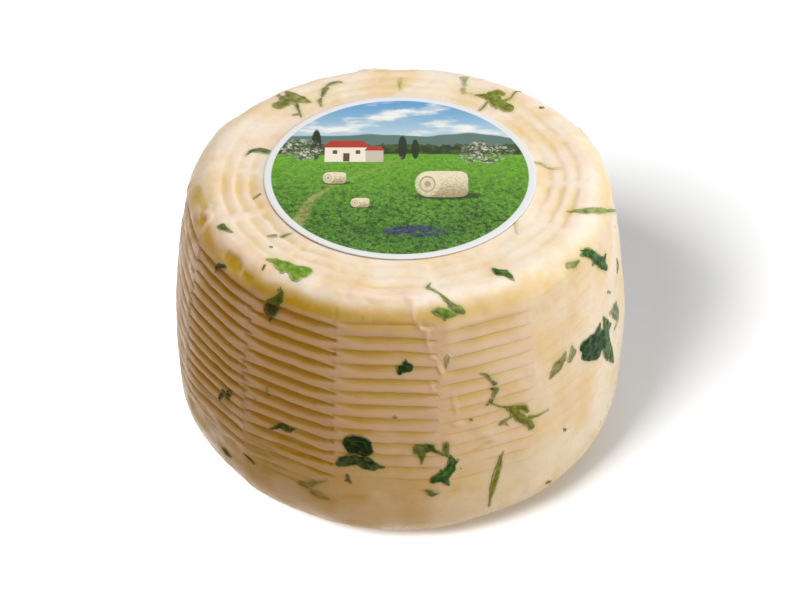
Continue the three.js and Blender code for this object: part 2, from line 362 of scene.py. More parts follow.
# Marks of its own that the cheese shows, as rise, strength of the colour, softness of the edge
# and a stroke of (azimuth, along, half width). The basket never pressed the yellow hollows; they sink
# in and take the mustard colour, partly the cheese's own yellow and partly painted shade. The pale
# smears stand proud and take the pale lip colour, partly paler skin and partly painted highlight.
yellowHollows = {
    "brimHollow": (-0.6, 1.2, 1.0, [(-55, 76.6, 1.9), (-51.5, 76.2, 2.7), (-49, 76.6, 1.7)]),
    "besideBrim": (-0.35, 1.1, 1.0, [(-46.6, 77.6, 1.2), (-44.6, 78, 1.5)]),
    "ovalHollow": (-0.6, 1.2, 0.9, [(-75.5, 77.6, 1.9), (-72.6, 76.8, 2.4)]),
    "wideHollow": (-0.6, 1.0, 1.6, [(-87, 85.5, 1.6), (-80, 84.6, 2.4), (-73, 83.4, 2.2),
        (-70, 83, 1.4)]),
    "rimHollow": (-0.4, 0.75, 2.4, [(-88, 76.5, 1.6), (-82, 74.5, 2.4), (-77, 73, 1.6)]),
    "paleHollow": (-0.3, 0.6, 1.8, [(-67.5, 77, 1.4), (-64.5, 78.6, 1.8), (-61, 79, 1.4)]),
    "topHollow": (-0.25, 0.4, 1.8, [(-86, 70.8, 1.0), (-80, 70.6, 1.4), (-75, 70.2, 0.8)]),
    "lowPocket": (-0.35, 0.9, 0.9, [(-54, 122.6, 0.7), (-49, 123.4, 1.2), (-44.5, 122.8, 0.7)]),
    "besidePocket": (-0.35, 0.85, 0.9, [(-32, 121, 0.8), (-28, 121.6, 1.2), (-25, 121, 0.7)]),
    "footPocket": (-0.3, 0.75, 1.0, [(-37, 146.4, 0.6), (-29, 146.8, 1.0), (-21, 147.4, 0.4)]),
    "sidePocket": (-0.2, 0.6, 0.9, [(-61.5, 133.6, 0.6), (-58.5, 133, 0.9)]),
    "middlePocket": (-0.2, 0.5, 0.9, [(-26.5, 132.6, 0.6), (-21.5, 132.8, 0.8)]),
    "rightPocket": (-0.25, 0.65, 0.9, [(14.5, 137.4, 0.3), (18, 136.4, 0.6), (22, 134.6, 0.9)]),
    "nickOne": (-0.2, 0.9, 0.5, [(-17, 77, 0.3), (-16.8, 79.4, 0.4)]),
    "nickTwo": (-0.2, 0.9, 0.5, [(-14.6, 79.2, 0.5), (-13.6, 79.6, 0.4)]),
    "nickThree": (-0.2, 0.8, 0.5, [(-11.8, 78, 0.3), (-11.6, 79.6, 0.4)]),
    "nickFour": (-0.2, 0.8, 0.5, [(-10, 78.6, 0.3), (-9.8, 79.8, 0.5)]),
}
paleSmears = {
    "leftFlap": (0.5, 0.9, 0.8, [(-75, 74, 0.5), (-72.4, 72.4, 0.9), (-70.4, 73.6, 0.8),
        (-69.4, 78, 0.5), (-68.4, 82, 0.5), (-67.4, 90, 0.5)]),
    "leftPatch": (0.3, 0.7, 1.4, [(-79.5, 77.4, 0.8), (-75.8, 77.8, 1.1)]),
    "leftLump": (0.3, 0.6, 1.6, [(-75, 95, 1.0), (-71, 96.5, 1.2)]),
    "brimSplit": (0.4, 0.8, 0.7, [(-48.2, 75, 0.5), (-47.8, 77.4, 0.35), (-47.4, 80, 0.3)]),
    "topSmear": (0.3, 0.5, 2.4, [(-62, 71.6, 1.6), (-52, 71.4, 2.2), (-44, 71.8, 1.4)]),
    "hatch": (0.25, 0.5, 0.6, [(-58.4, 92.8, 0.4), (-54.6, 93.4, 0.5), (-52.4, 93.2, 0.3)]),
    "scarOne": (0.4, 0.6, 0.5, [(-36, 102.2, 0.4), (-35.2, 103, 0.5)]),
    "scarTwo": (0.4, 0.7, 0.6, [(-26, 113, 0.6), (-24, 113.8, 0.6)]),
    "scarThree": (0.4, 0.7, 0.6, [(-25.6, 118.2, 0.4), (-23.6, 119.2, 0.7)]),
    "shoulderSmear": (0.3, 0.8, 1.8, [(-18, 69.4, 1.2), (-12, 69.8, 1.8), (-5, 69.6, 1.4),
        (0.5, 69.8, 1.2), (5.4, 70, 0.7)]),
    "drip": (0.3, 1.0, 0.7, [(3, 70.4, 1.4), (3.5, 73.5, 0.7), (3.9, 78, 0.3)]),
    "dripBead": (0.6, 1.0, 0.5, [(4.8, 80.8, 0.7), (5.4, 82.4, 0.7)]),
    "dripTrail": (0.3, 0.7, 0.6, [(6.6, 83, 0.6), (6.8, 86, 0.35), (7, 89.4, 0.3)]),
    "dripSpot": (0.4, 0.7, 0.5, [(7.8, 93.6, 0.6), (8.8, 94.2, 0.4)]),
    "dripKnot": (0.5, 0.9, 0.5, [(9.8, 98.4, 0.6), (10.2, 100.2, 0.7)]),
    "dripTick": (0.35, 0.6, 0.4, [(7.7, 103.6, 0.3), (7.8, 106.4, 0.4)]),
    "dripEnd": (0.3, 0.7, 0.8, [(13, 110, 0.3), (13.4, 115, 0.6), (13.8, 118, 0.4)]),
    "lowSpot": (0.35, 0.9, 0.9, [(13, 122.6, 0.6), (15, 123, 1.1)]),
    "lowStreak": (0.3, 0.7, 1.0, [(4.6, 128.8, 0.5), (7, 126.8, 1.0), (8.6, 125.6, 0.5)]),
    "lowPatch": (0.25, 0.6, 1.4, [(20, 129.6, 0.8), (22.4, 132.6, 1.2), (23.4, 134, 0.8)]),
    "frontPatch": (0.2, 0.6, 1.2, [(0, 138.6, 0.8), (2.6, 136.8, 0.9)]),
    "footStreak": (0.2, 0.5, 1.4, [(-12, 165.5, 0.4), (-8, 158.5, 0.8), (-5.6, 153, 0.4)]),
    "besideStreak": (0.2, 0.5, 1.2, [(-6, 125.4, 0.8), (-2, 126, 0.8)]),
}
# The yellow band under the shoulder: how yellow it is round the wheel, in degrees. It sinks a
# little and takes the mustard colour, partly painted shade where the shoulder turns down, most on
# the front left
band = {
    "places": [-180, -150, -120, -92, -80, -60, -46, -40, -30, -19, -14, 0, 9, 12, 34, 46, 90, 120,
               150, 180],
    "yellows": [0.5, 0.1, 0.1, 0.1, 0.3, 0.35, 0.6, 0.95, 1, 0.95, 0.62, 0.6, 0.55, 0.42, 0.4, 0.15,
                0.1, 0.1, 0.1, 0.5],
    "top": (72.5, 79.5),  # along the outline, where it comes in
    "bottom": (79.5, 83),  # and where it ends
    "depth": 0.25,
}
farTurns = [150, 262]  # the same marks turned to the far side, in degrees
farStart = 108  # degrees from the front


# Each mark as its middle, its stroke about that in millimetres, its colour and its numbers
def placeMarks():
    placed = []
    for colour, marks in (("yellow", yellowHollows), ("pale", paleSmears)):
        for rise, strength, soft, points in marks.values():
            stroke = np.array(points, float)
            middle = (stroke[:, :2].min(0) + stroke[:, :2].max(0)) / 2
            stroke[:, :2] -= middle
            stroke[:, 0] *= arcAt(middle[1])
            azimuths = [wrapped(middle[0] + turn) for turn in farTurns]
            azimuths = [middle[0]] + [azimuth for azimuth in azimuths if abs(azimuth) > farStart]
            for azimuth in azimuths:
                placed.append((azimuth, middle[1], stroke, colour, rise, strength, soft))
    return placed


# Rise, yellowness and paleness of all the marks together
def marksAt(azimuth, along):
    height = np.zeros_like(azimuth)
    colours = {"yellow": np.zeros_like(azimuth), "pale": np.zeros_like(azimuth)}
    for markAzimuth, markAlong, stroke, colour, rise, strength, soft in placedMarks:
        x = wrapped(azimuth - markAzimuth) * arcAt(markAlong)
        y = along - markAlong
        reach = np.abs(stroke[:, :2]).max() + stroke[:, 2].max() + 2 * soft + 1
        near = (np.abs(x) < reach) & (np.abs(y) < reach)
        if not near.any():
            continue
        edge, _ = strokeDistance(x[near], y[near], stroke)
        edge += 0.5 * soft * uneven("marks", azimuth[near], along[near])
        shape = 1 - smoothStep(edge, -0.6 * soft, soft)
        height[near] += rise * shape
        colours[colour][near] = np.maximum(colours[colour][near], strength * shape)
    return height, colours["yellow"] * (1 - 0.8 * colours["pale"]), colours["pale"]


# How deep in the trough of a ring each place is, and how much it is a ring's crest. The trough
# takes some of the mustard colour, partly painted shade; the crest takes the pale lip colour as painted
# highlight.
def ringAt(azimuth, along):
    base = unwarped(along, lambda row: warpAt(azimuth, row))
    phase = (base - relief["firstRing"]) / relief["ringPitch"]
    dip = np.interp(phase - np.floor(phase), ringShares, ringDips)
    inRings = between(base, *zones["rings"])
    patchy = aroundStaves(azimuth, staveRings) * (0.9 + 0.5 * uneven("rings", azimuth, base))
    opened = lerp(0.3, 1, smoothStep(np.abs(seamOffset(azimuth)), 0.6, 2.8))
    crest = 0.5 * (1 - smoothStep(dip, 0, 0.35)) * inRings * patchy
    return dip * inRings * patchy * opened, crest


# How much of the yellow band lies at each place
def bandAt(azimuth, along):
    edge = along + 1.2 * uneven("band", azimuth, along) + 0.6 * uneven("shortBand", azimuth, along)
    amount = np.interp(wrapped(azimuth), band["places"], band["yellows"])
    amount *= smoothStep(edge, *band["top"])
    return amount * (1 - smoothStep(along, *band["bottom"]))


# Height of the skin off the plain outline, with how hollow and how much a lip each place is.
# The hollow value paints the mustard colour: partly the cheese's own yellow, partly painted shade
# in the troughs. The lip value paints the pale lip colour: partly paler skin, partly painted highlight.
def reliefAt(azimuth, along):
    strength = ridgeStrength(azimuth, along)
    trough = troughAt(azimuth, along, strength)
    ring, crest = ringAt(azimuth, along)
    onSide = between(along, *zones["ridged"])
    low = between(along, *zones["streaks"]) * smoothStep(aroundStaves(azimuth, staveDepths), 0.3, 1)
    streaks = smoothStep(uneven("streaks", azimuth, along), 0, 0.7) * low
    scar = bell(seamOffset(azimuth), 0.9) * smoothStep(uneven("scar", azimuth, along), 0.1, 0.6)
    scar *= onSide * np.clip(strength, 0, 1)
    lumps = uneven("lumps", azimuth, along) + 0.5 * uneven("smallLumps", azimuth, along)
    rise, yellow, pale = marksAt(azimuth, along)
    banded = bandAt(azimuth, along)
    yellow = np.maximum(yellow, banded * (1 - 0.9 * pale))

    height = -relief["ridgeDepth"] * strength * trough - relief["ringDepth"] * ring
    height += rise - band["depth"] * banded + relief["scar"] * scar - relief["streaks"] * streaks
    rough = relief["lumps"] * (lumps - 1) + relief["grain"] * uneven("grain", azimuth, along)
    height += between(along, *zones["skin"]) * rough
    # painted shade, in part: ridge troughs, ring troughs, low streaks and the yellow marks take the mustard
    # colour
    hollow = np.clip(trough, 0, 1) * smoothStep(strength, 0, 0.6)
    hollow = np.clip(np.maximum(hollow, yellow) + 0.5 * ring + streaks, 0, 1) * (1 - 0.8 * pale)
    # painted highlight, in part: ridge lips, ring crests, pale smears and seam scars take the pale lip
    # colour
    lip = (1 - smoothStep(trough, 0, 0.3)) * np.clip(strength * 3, 0, 1) * onSide + crest
    lip = np.maximum(np.maximum(lip * (1 - yellow), pale), scar)
    return height, hollow, np.clip(lip, 0, 1)


# Points of the skin, in metres, raised off it by so many millimetres
def skinPoints(azimuth, along, height, lift=0.0):
    radius, up = outlineAt(along)
    outRadius, outUp = outwardAt(along)
    off = swellAt(azimuth, along) + height + lift
    radius = radius + outRadius * off
    turn = azimuth * degree
    points = np.stack([radius * np.sin(turn), -radius * np.cos(turn), up + outUp * off], -1)
    return points * mm


cheesePieces = bpy.data.collections.new("cheese_pieces")
bpy.context.scene.collection.children.link(cheesePieces)


def addPiece(name, points, faces, material, values=None):
    mesh = bpy.data.meshes.new(name)
    mesh.from_pydata([tuple(point) for point in points], [], faces)
    for key, numbers in (values or {}).items():
        attribute = mesh.attributes.new(key, "FLOAT", "POINT")
        attribute.data.foreach_set("value", np.asarray(numbers, np.float32))
    mesh.polygons.foreach_set("use_smooth", np.ones(len(mesh.polygons), bool))
    mesh.materials.append(material)
    piece = bpy.data.objects.new(name, mesh)
    cheesePieces.objects.link(piece)
    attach(piece, "root")
    return piece


# Tone runs from near black to light green, olive from green to olive, and veil says how much of
# the leaf lies under a film of cheese. A stroke holds pixel x, pixel y and half width in
# millimetres.
def leaf(tone, olive, veil, **strokes):
    return {"tone": tone, "olive": olive, "veil": veil, "strokes": strokes}


# Leaves that show from the front
shownLeaves = [
    leaf(0.55, 0.75, 0.1, body=[(284, 98, 2.2), (292, 97.5, 3.8), (301, 98.5, 2.4),
             (309.5, 101.4, 0.6)], crown=[(287, 91.3, 0.9), (292, 95, 2.4)],
         lobe=[(287, 101, 2.2), (279, 104, 2.4)], point=[(278, 93.6, 0.5), (284, 98.5, 1.0)]),
    leaf(0.45, 0.6, 0.1, stem=[(296.5, 103, 0.8), (299, 110, 0.6), (301.5, 117, 0.4)],
         branch=[(293.5, 114.8, 0.5), (298.8, 114, 0.6)]),
    leaf(0.5, 0.4, 0.2, top=[(343, 81, 0.4), (337.5, 81, 0.9), (328, 84, 0.9)],
         middle=[(328, 84, 0.3), (325.6, 88, 1.5), (322.5, 94.5, 0.9)],
         end=[(322, 96, 0.25), (320, 100, 1.1), (321.5, 106, 0.4)]),
    leaf(0.42, 0.1, 0.1, blade=[(246, 154.8, 0.4), (252.5, 151, 1.0), (260, 150, 1.6),
             (267, 151.8, 1.5)]),
    leaf(0.4, 0.1, 0.1, body=[(218.5, 226, 0.8), (222, 225.8, 1.6), (226, 228.5, 1.0),
             (233, 231, 0.4)]),
    leaf(0.72, 0.05, 0.0, body=[(267, 258, 0.3), (276, 260, 1.5), (284, 264.5, 2.7), (293, 268, 2.5),
             (301, 271, 3.4)], tooth=[(282, 266, 1.9), (282.5, 270.5, 0.8)],
         lobe=[(296, 272, 2.6), (296, 276, 1.8)], end=[(302, 270, 3.0), (306, 270.5, 2.4)]),
    leaf(0.5, 0.15, 0.25, first=[(268, 234.5, 0.4), (276, 234.8, 0.8)],
         second=[(282.5, 235.3, 0.9), (287, 234, 0.6), (292, 233, 0.4)]),
    leaf(0.7, 0.5, 0.55, blade=[(402, 77.5, 0.4), (400.5, 83, 1.0), (400.8, 89, 0.4)]),
    leaf(0.6, 0.45, 0.3, bar=[(461.5, 77, 0.7), (468, 76.6, 0.7)],
         stem=[(464.8, 77.5, 1.3), (465, 84, 0.7)], foot=[(463.5, 88, 0.9), (464, 91.5, 0.8)],
         thread=[(464, 91.5, 0.3), (474, 93, 0.25)]),
    leaf(0.6, 0.65, 0.05, body=[(475, 94.5, 0.4), (484, 95.5, 1.4), (494, 98, 3.0), (497, 104, 2.4),
             (496.5, 108, 0.6)], crown=[(489, 93.5, 1.0), (498, 92.5, 1.9), (503, 94, 1.0)],
         lobe=[(500, 102, 1.8), (506, 107, 2.8), (509, 108, 2.3)],
         stem=[(503, 101.5, 0.9), (511, 97.3, 0.6), (522, 90, 0.35)],
         root=[(488, 101.5, 0.6), (480.5, 110, 0.6), (478, 112, 0.3)]),
    leaf(0.7, 0.4, 0.5, blade=[(534, 162.3, 0.6), (541, 163.3, 1.1), (546, 165, 0.7)],
         thread=[(546, 166, 0.3), (553, 168.5, 0.5), (561, 167, 0.4)]),
    leaf(0.62, 0.4, 0.15, blade=[(567, 209.3, 0.2), (575, 209, 1.0), (585, 209.4, 1.6),
             (600, 209.3, 1.4), (611, 210, 0.9), (617, 210, 0.3)]),
    leaf(0.7, 0.3, 0.65, blade=[(515, 221, 0.5), (517, 227, 1.0), (518, 233, 0.4)]),
    leaf(0.42, 0.0, 0.0, body=[(582, 254.5, 0.4), (588, 252.5, 1.7), (594, 254.5, 2.0), (600, 260, 2.0),
             (606, 263.5, 2.5), (609, 268, 1.5)], point=[(606.5, 262, 1.8), (609.5, 252, 0.2)],
         tooth=[(599, 260, 1.5), (595.5, 265.5, 0.3)], shoulder=[(582, 250, 0.4), (591, 251.5, 1.2)]),
    leaf(0.5, 0.1, 0.35, body=[(569, 265, 1.2), (576, 264.5, 1.5), (580, 260.5, 0.6)]),
    leaf(0.4, 0.1, 0.1, edge=[(619, 259, 0.6), (620, 266, 1.3), (619.6, 272, 0.7)]),
    leaf(0.46, 0.1, 0.0, body=[(493.5, 268.5, 0.8), (499, 272, 1.8), (505, 272.5, 1.5), (510, 276, 1.2),
             (514, 280.3, 0.3)]),
    leaf(0.5, 0.3, 0.15, hook=[(430.5, 282.5, 0.3), (428, 286.8, 0.9)],
         stem=[(428, 286.8, 0.8), (438, 292, 0.35), (446, 299, 0.8), (452, 306, 1.3), (458, 309.5, 1.9),
             (463, 311.5, 1.1)]),
    leaf(0.6, 0.1, 0.05, body=[(431.5, 311.5, 0.3), (439, 311.5, 1.5), (447, 314, 1.6),
             (455, 314.5, 0.9)], point=[(445, 315, 1.4), (445.3, 320, 0.3)]),
    leaf(0.25, 0.0, 0.0, body=[(586, 347, 2.6), (592, 346, 4.2), (599, 344, 5.0), (604, 341, 4.4)],
         crown=[(602.5, 325, 0.8), (600, 333, 2.8), (598, 340, 3.6)],
         foot=[(587, 355, 2.4), (593, 356, 2.6), (600, 352, 3.2)]),
    leaf(0.42, 0.0, 0.05, body=[(606.5, 318, 0.6), (609, 327, 3.0), (608.5, 338, 3.2), (609, 347, 3.6),
             (613, 355, 2.6), (615.5, 362, 0.8)], tooth=[(609, 329, 2.6), (613, 325, 1.0)],
         foot=[(609, 352, 2.8), (609.5, 360, 0.8)]),
    leaf(0.44, 0.0, 0.2, body=[(619, 304, 1.0), (617.5, 311, 3.2), (620, 315, 2.4)],
         tooth=[(617, 311, 2.0), (613.5, 313, 0.8)]),
    leaf(0.5, 0.1, 0.5, edge=[(621, 318, 0.7), (617, 329, 1.0)]),
    leaf(0.5, 0.35, 0.25, pod=[(567.5, 353.5, 0.7), (565, 360, 1.8), (559.5, 367.5, 2.8),
             (552, 378, 0.8)], film=[(574, 347, 0.7), (575, 354, 2.0), (572.5, 361, 1.2)]),
    leaf(0.3, 0.0, 0.0, left=[(401, 368.5, 1.3), (400, 373, 1.1)],
         right=[(405, 364.5, 1.0), (408, 368, 2.0), (404, 372, 0.8)],
         sprout=[(406, 361.5, 0.3), (406, 365, 0.8)]),
    leaf(0.55, 0.2, 0.6, blade=[(449, 356, 0.7), (447.5, 362, 1.1), (446, 368, 0.5)]),
    leaf(0.4, 0.5, 0.15, thread=[(480.4, 373, 0.3), (486.5, 374.3, 0.7), (491, 380, 0.45),
             (494.3, 383, 1.0)]),
    leaf(0.42, 0.4, 0.15, knot=[(491.5, 388.5, 0.6), (496.8, 389, 0.8), (494.2, 394, 0.7),
             (493.5, 397, 0.4)], dots=[(491.5, 400.5, 0.9), (491.8, 403.5, 0.6)],
         end=[(487.5, 404.8, 0.5), (489.5, 404, 0.4)]),
    leaf(0.57, 0.75, 0.05, edge=[(494, 404, 0.25), (503, 407, 0.5), (513, 407.5, 0.9),
             (524, 407.8, 1.3), (528, 411.5, 0.9)],
         body=[(509, 409, 0.6), (516, 413, 1.6), (522, 419, 1.9), (527, 421, 1.6), (531, 424, 1.2)],
         lobe=[(528, 421, 1.2), (532, 427, 1.3)],
         stem=[(530, 417.5, 0.9), (538, 415.8, 0.5), (549, 411, 0.3)],
         branch=[(513, 416, 0.45), (506, 421.5, 0.6), (500.5, 425.3, 0.6)],
         hook=[(505, 423, 0.5), (509.5, 426, 0.3)]),
    leaf(0.5, 0.3, 0.1, body=[(415, 450.5, 0.9), (420, 449, 2.4), (426, 447.5, 2.3), (431, 446.5, 1.5)],
         tooth=[(421, 451, 1.9), (422.3, 456, 1.2), (421.8, 463, 0.25)],
         stem=[(431, 448, 1.2), (437, 450.8, 0.9), (444, 453.8, 0.8)],
         stub=[(446, 443.5, 1.1), (446, 450, 1.2), (447.5, 455, 0.8)]),
    leaf(0.42, 0.0, 0.0, body=[(450, 455.5, 0.8), (452, 462, 1.5), (449.5, 469, 2.2), (444, 474.5, 2.5),
             (436, 478, 1.9), (433, 481, 0.9)], fork=[(452, 464, 1.2), (458.3, 460, 0.4)],
         toothUp=[(443, 474, 1.5), (440.5, 468.5, 0.4)],
         toothDown=[(443, 477, 1.8), (446, 481, 1.2), (449.2, 485, 0.25)]),
    leaf(0.68, 0.75, 0.0, blade=[(504, 452, 0.2), (501.5, 459, 0.8), (500, 467, 1.1), (497, 477, 1.4),
             (493.5, 488, 1.3), (491, 499, 0.6), (490, 507, 0.3)]),
    leaf(0.45, 0.2, 0.15, body=[(427.5, 490, 0.7), (432, 493.5, 1.3), (439, 493, 0.35)],
         sprout=[(428, 494.8, 0.3), (432, 494, 0.6)]),
    leaf(0.34, 0.1, 0.05, left=[(338, 464.5, 1.2), (345, 461.5, 2.7), (356, 460, 2.4)],
         right=[(356, 460, 2.2), (366, 463, 3.2), (374, 466.5, 2.2), (384, 468, 0.3)]),
    leaf(0.2, 0.05, 0.0, body=[(351, 443.5, 3.2), (359, 446, 4.6), (364, 450, 3.4)],
         side=[(350, 446, 2.4), (350, 451, 1.6)],
         corners=[(347, 438.5, 0.7), (354, 441, 2.6), (364, 442, 1.6), (368.5, 451, 1.6)]),
    leaf(0.6, 0.9, 0.45, upper=[(297, 485, 0.8), (306, 486.5, 1.8), (315, 483.5, 1.0),
             (327, 480.5, 0.3)], link=[(306, 487, 1.2), (312, 492, 0.5)],
         lower=[(311, 493, 1.2), (319, 496, 1.9), (329, 500, 0.5)]),
    leaf(0.36, 0.05, 0.1, blade=[(266, 431.7, 0.2), (272, 429.8, 0.7), (278, 428.8, 1.1),
             (284, 431, 1.2), (288, 432.5, 0.9), (293, 432, 0.25)]),
    leaf(0.36, 0.1, 0.1, left=[(218, 395.5, 1.0), (217.5, 401, 0.9)],
         right=[(221, 393, 1.4), (224, 397, 1.8), (228, 396, 0.8)],
         sprout=[(225.5, 389, 0.3), (225.5, 393, 0.8)]),
    leaf(0.4, 0.4, 0.5, left=[(252.8, 398, 0.4), (254, 401.5, 0.9)],
         right=[(266.3, 390, 0.4), (265.8, 396.5, 0.9)]),
    leaf(0.34, 0.1, 0.1, blade=[(219.5, 450.5, 0.5), (223, 454.5, 1.3), (227.5, 458.5, 0.5)]),
    leaf(0.3, 0.35, 0.1, body=[(212.5, 268, 0.8), (217, 265.8, 1.4), (223, 266, 0.8)],
         tail=[(213.5, 267, 0.7), (213, 272, 0.25)]),
    leaf(0.4, 0.6, 0.1, body=[(279.5, 286, 0.25), (281, 292, 0.9), (277, 300, 2.1), (271, 306, 2.8),
             (268.5, 311, 2.8), (268.5, 317, 1.5), (267, 322, 0.3)],
         point=[(277, 288, 0.25), (280, 294, 0.7)]),
]

specks = leaf(
    0.36, 0.3, 0.1, topThread=[(253, 198, 0.3), (260, 194, 0.5)],
    topDot=[(541, 107, 0.8), (543.5, 107, 0.6)],
    crumb=[(347, 475, 0.5), (348.5, 480, 0.7), (350.8, 482.8, 0.4)],
    crumbFoot=[(344.8, 481, 0.4), (348, 480.5, 0.6)],
    lowThread=[(241, 455, 0.3), (247, 461, 0.45), (251, 466, 0.4)],
    shoulderDot=[(262.5, 268.5, 0.6), (264.5, 265, 0.6)], ringDot=[(271, 246, 0.4), (272, 246.4, 0.4)],
    rightDot=[(611, 292, 0.5), (613, 293, 0.6)], sideDot=[(564.5, 429, 0.5), (566.5, 430.5, 0.8)],
    footDot=[(548.5, 483, 0.9), (551, 482.5, 0.7)], middleDot=[(471, 419.6, 0.5), (472, 420.2, 0.4)],
    leftDot=[(394.5, 417.4, 0.4), (395.2, 417.6, 0.4)],
    frontDot=[(460.5, 468.3, 0.4), (461.2, 468.8, 0.4)]
)

# Leaves of the far side: the same draw places them as in the solid
farLeaves = {"count": 12, "from": 112, "to": 270, "top": 84, "bottom": 166, "seed": 11, "lookSeed": 12}
# Kinds of far leaf: half width of the spine as a share of the leaf's width, and the lobes
leafKinds = {"blade": (0.5, 0), "lobed": (0.24, 5), "torn": (0.32, 3), "chip": (0.42, 1)}

leafMake = {
    "cell": 0.34,  # size of the net that a leaf's outline is cut from
    "join": 0.3,  # how softly strokes melt together
    "ragged": 0.28,
    "rise": 0.16,  # of the upper face over the skin, at the edge
    "crown": 0.22,  # and how much more in the middle
    "sink": 0.3,  # of the lower face into the cheese
    "follow": 0.8,  # share of the ridges that a leaf follows
    "softEdge": 0.5,  # width of the edge that thins into the cheese
    "edgeVeil": 0.45,  # and how much of the cheese covers it
    "veinWidth": 0.28,
    "mottle": 0.12,  # how far the tone strays
    "seed": 100,
    "speckSeed": 500,
    "seedStep": 5,
}
# Layers of a leaf's unevenness: cells round the wheel, length of a cell, what is added to the
# leaf's seed and, for the ragged outline, the layer's share
raggedLayers = [(420, 1.3, 0, 1), (900, 0.6, 1, 0.6), (200, 2.4, 3, 1.2)]
mottleLayer = (300, 1.9, 2)


# Rays from the camera through pixels, met with the plain outline: azimuth and along of each
def skinUnder(pixels):
    pixels = np.asarray(pixels, float)
    middle = np.array(cameraSet["picture"]) / 2
    pitch = cameraSet["pitch"] * degree
    ahead = np.array([0, math.cos(pitch), -math.sin(pitch)])
    above = np.array([0, math.sin(pitch), math.cos(pitch)])
    side = (pixels[:, :1] - middle[0]) / cameraSet["focal"]
    rise = (middle[1] - pixels[:, 1:2]) / cameraSet["focal"]
    rays = ahead + side * np.array([1, 0, 0]) + rise * above
    alongTable = np.linspace(wheel["topFlatRadius"], footEdge, 900)
    radiusTable, heightTable = outlineAt(alongTable)
    depths = np.arange(720, 1250, 0.12)
    found = np.zeros((len(pixels), 2))
    for number, ray in enumerate(rays):
        points = np.array(cameraSet["place"]) + depths[:, None] * ray
        radius = np.hypot(points[:, 0], points[:, 1])
        reach = np.interp(points[:, 2], heightTable[::-1], radiusTable[::-1])
        inside = (points[:, 2] <= wheel["height"]) & (points[:, 2] >= 0) & (radius <= reach)
        if inside.any():
            hit = np.argmax(inside)
        else:  # just past the rim: taken at the rim
            overTop = points[:, 2] > wheel["height"] - 0.5
            hit = np.argmin(np.abs(radius - reach) + 1e3 * overTop)
        x, y, z = points[hit]
        nearest = np.argmin(np.hypot(radiusTable - radius[hit], heightTable - z))
        onTop = radius[hit] < wheel["topFlatRadius"] and z > wheel["height"] - 1
        found[number] = math.atan2(x, -y) / degree, radius[hit] if onTop else alongTable[nearest]
    return found


# Strokes on the skin as lists of (round, down, half width) about a middle (azimuth, along)
def strokesOnSkin(strokes):
    placed = []
    for points in strokes.values():
        places = skinUnder([point[:2] for point in points])
        placed.append(np.column_stack([places, [point[2] for point in points]]))
    everything = np.concatenate(placed)
    middle = (everything[:, :2].min(0) + everything[:, :2].max(0)) / 2
    for points in placed:
        points[:, 0] = (points[:, 0] - middle[0]) * arcAt(middle[1])
        points[:, 1] -= middle[1]
    return placed, middle


# A small repeatable source of draws from 0 to 1, the same as the solid's
def seededDraws(seed):
    state = seed
    while True:
        state = (state * 1664525 + 1013904223) % 2 ** 32
        yield state / 2 ** 32


def farLeafPlaces():
    draws = seededDraws(farLeaves["seed"])
    count = farLeaves["count"]
    for number in range(count):
        azimuth = lerp(farLeaves["from"], farLeaves["to"], (number + 0.2 + 0.6 * next(draws)) / count)
        height = number * 5 % count / (count - 1)
        along = lerp(farLeaves["top"], farLeaves["bottom"], height) + 4 * (next(draws) - 0.5)
        kind = list(leafKinds)[int(next(draws) * len(leafKinds))]
        length = lerp(5, 8, next(draws)) if kind == "chip" else lerp(11, 21, next(draws))
        width = length * 0.2 if kind == "blade" else length * lerp(0.34, 0.55, next(draws))
        yield kind, azimuth, along, length, width, 360 * next(draws), 2 * next(draws) - 1


# A leaf of a kind as strokes: a bowed spine with lobes or teeth to both sides
def leafStrokes(kind, length, width, turn, bow, seed):
    draw = np.random.RandomState(seed)
    share = np.linspace(0, 1, 6)
    swell = np.sin(math.pi * np.clip(share, 0.04, 0.96)) ** 0.8
    spineShare, lobes = leafKinds[kind]
    spineWidth = spineShare * width
    middle = bow * (1 - (2 * share - 1) ** 2)
    strokes = [np.column_stack([(share - 0.5) * length, middle, swell * spineWidth])]
    for lobe in range(lobes):
        place = (lobe + 0.6) / (lobes + 0.4)
        start = np.array([(place - 0.5) * length, bow * (1 - (2 * place - 1) ** 2)])
        side = 1 if lobe % 2 else -1
        reach = width * draw.uniform(0.4, 0.55) * math.sin(math.pi * min(place, 0.9))
        tip = start + np.array([reach * draw.uniform(0.2, 0.8), side * reach])
        tipWidth = spineWidth * draw.uniform(0.15, 0.5)
        strokes.append(np.array([[*start, spineWidth * 0.7], [*tip, tipWidth]]))
    cos, sin = math.cos(turn * degree), math.sin(turn * degree)
    for points in strokes:
        points[:, :2] = points[:, :2] @ np.array([[cos, sin], [-sin, cos]])
    return strokes


# Distance from each place to a stroke's edge, and to its middle line
def strokeDistance(x, y, stroke):
    edge = np.full(x.shape, 1e3)
    line = np.full(x.shape, 1e3)
    for (ax, ay, ar), (bx, by, br) in zip(stroke[:-1], stroke[1:]):
        dx, dy = bx - ax, by - ay
        share = np.clip(((x - ax) * dx + (y - ay) * dy) / max(dx * dx + dy * dy, 1e-9), 0, 1)
        away = np.hypot(x - ax - share * dx, y - ay - share * dy)
        edge = np.minimum(edge, away - lerp(ar, br, share))
        line = np.minimum(line, away)
    return edge, line


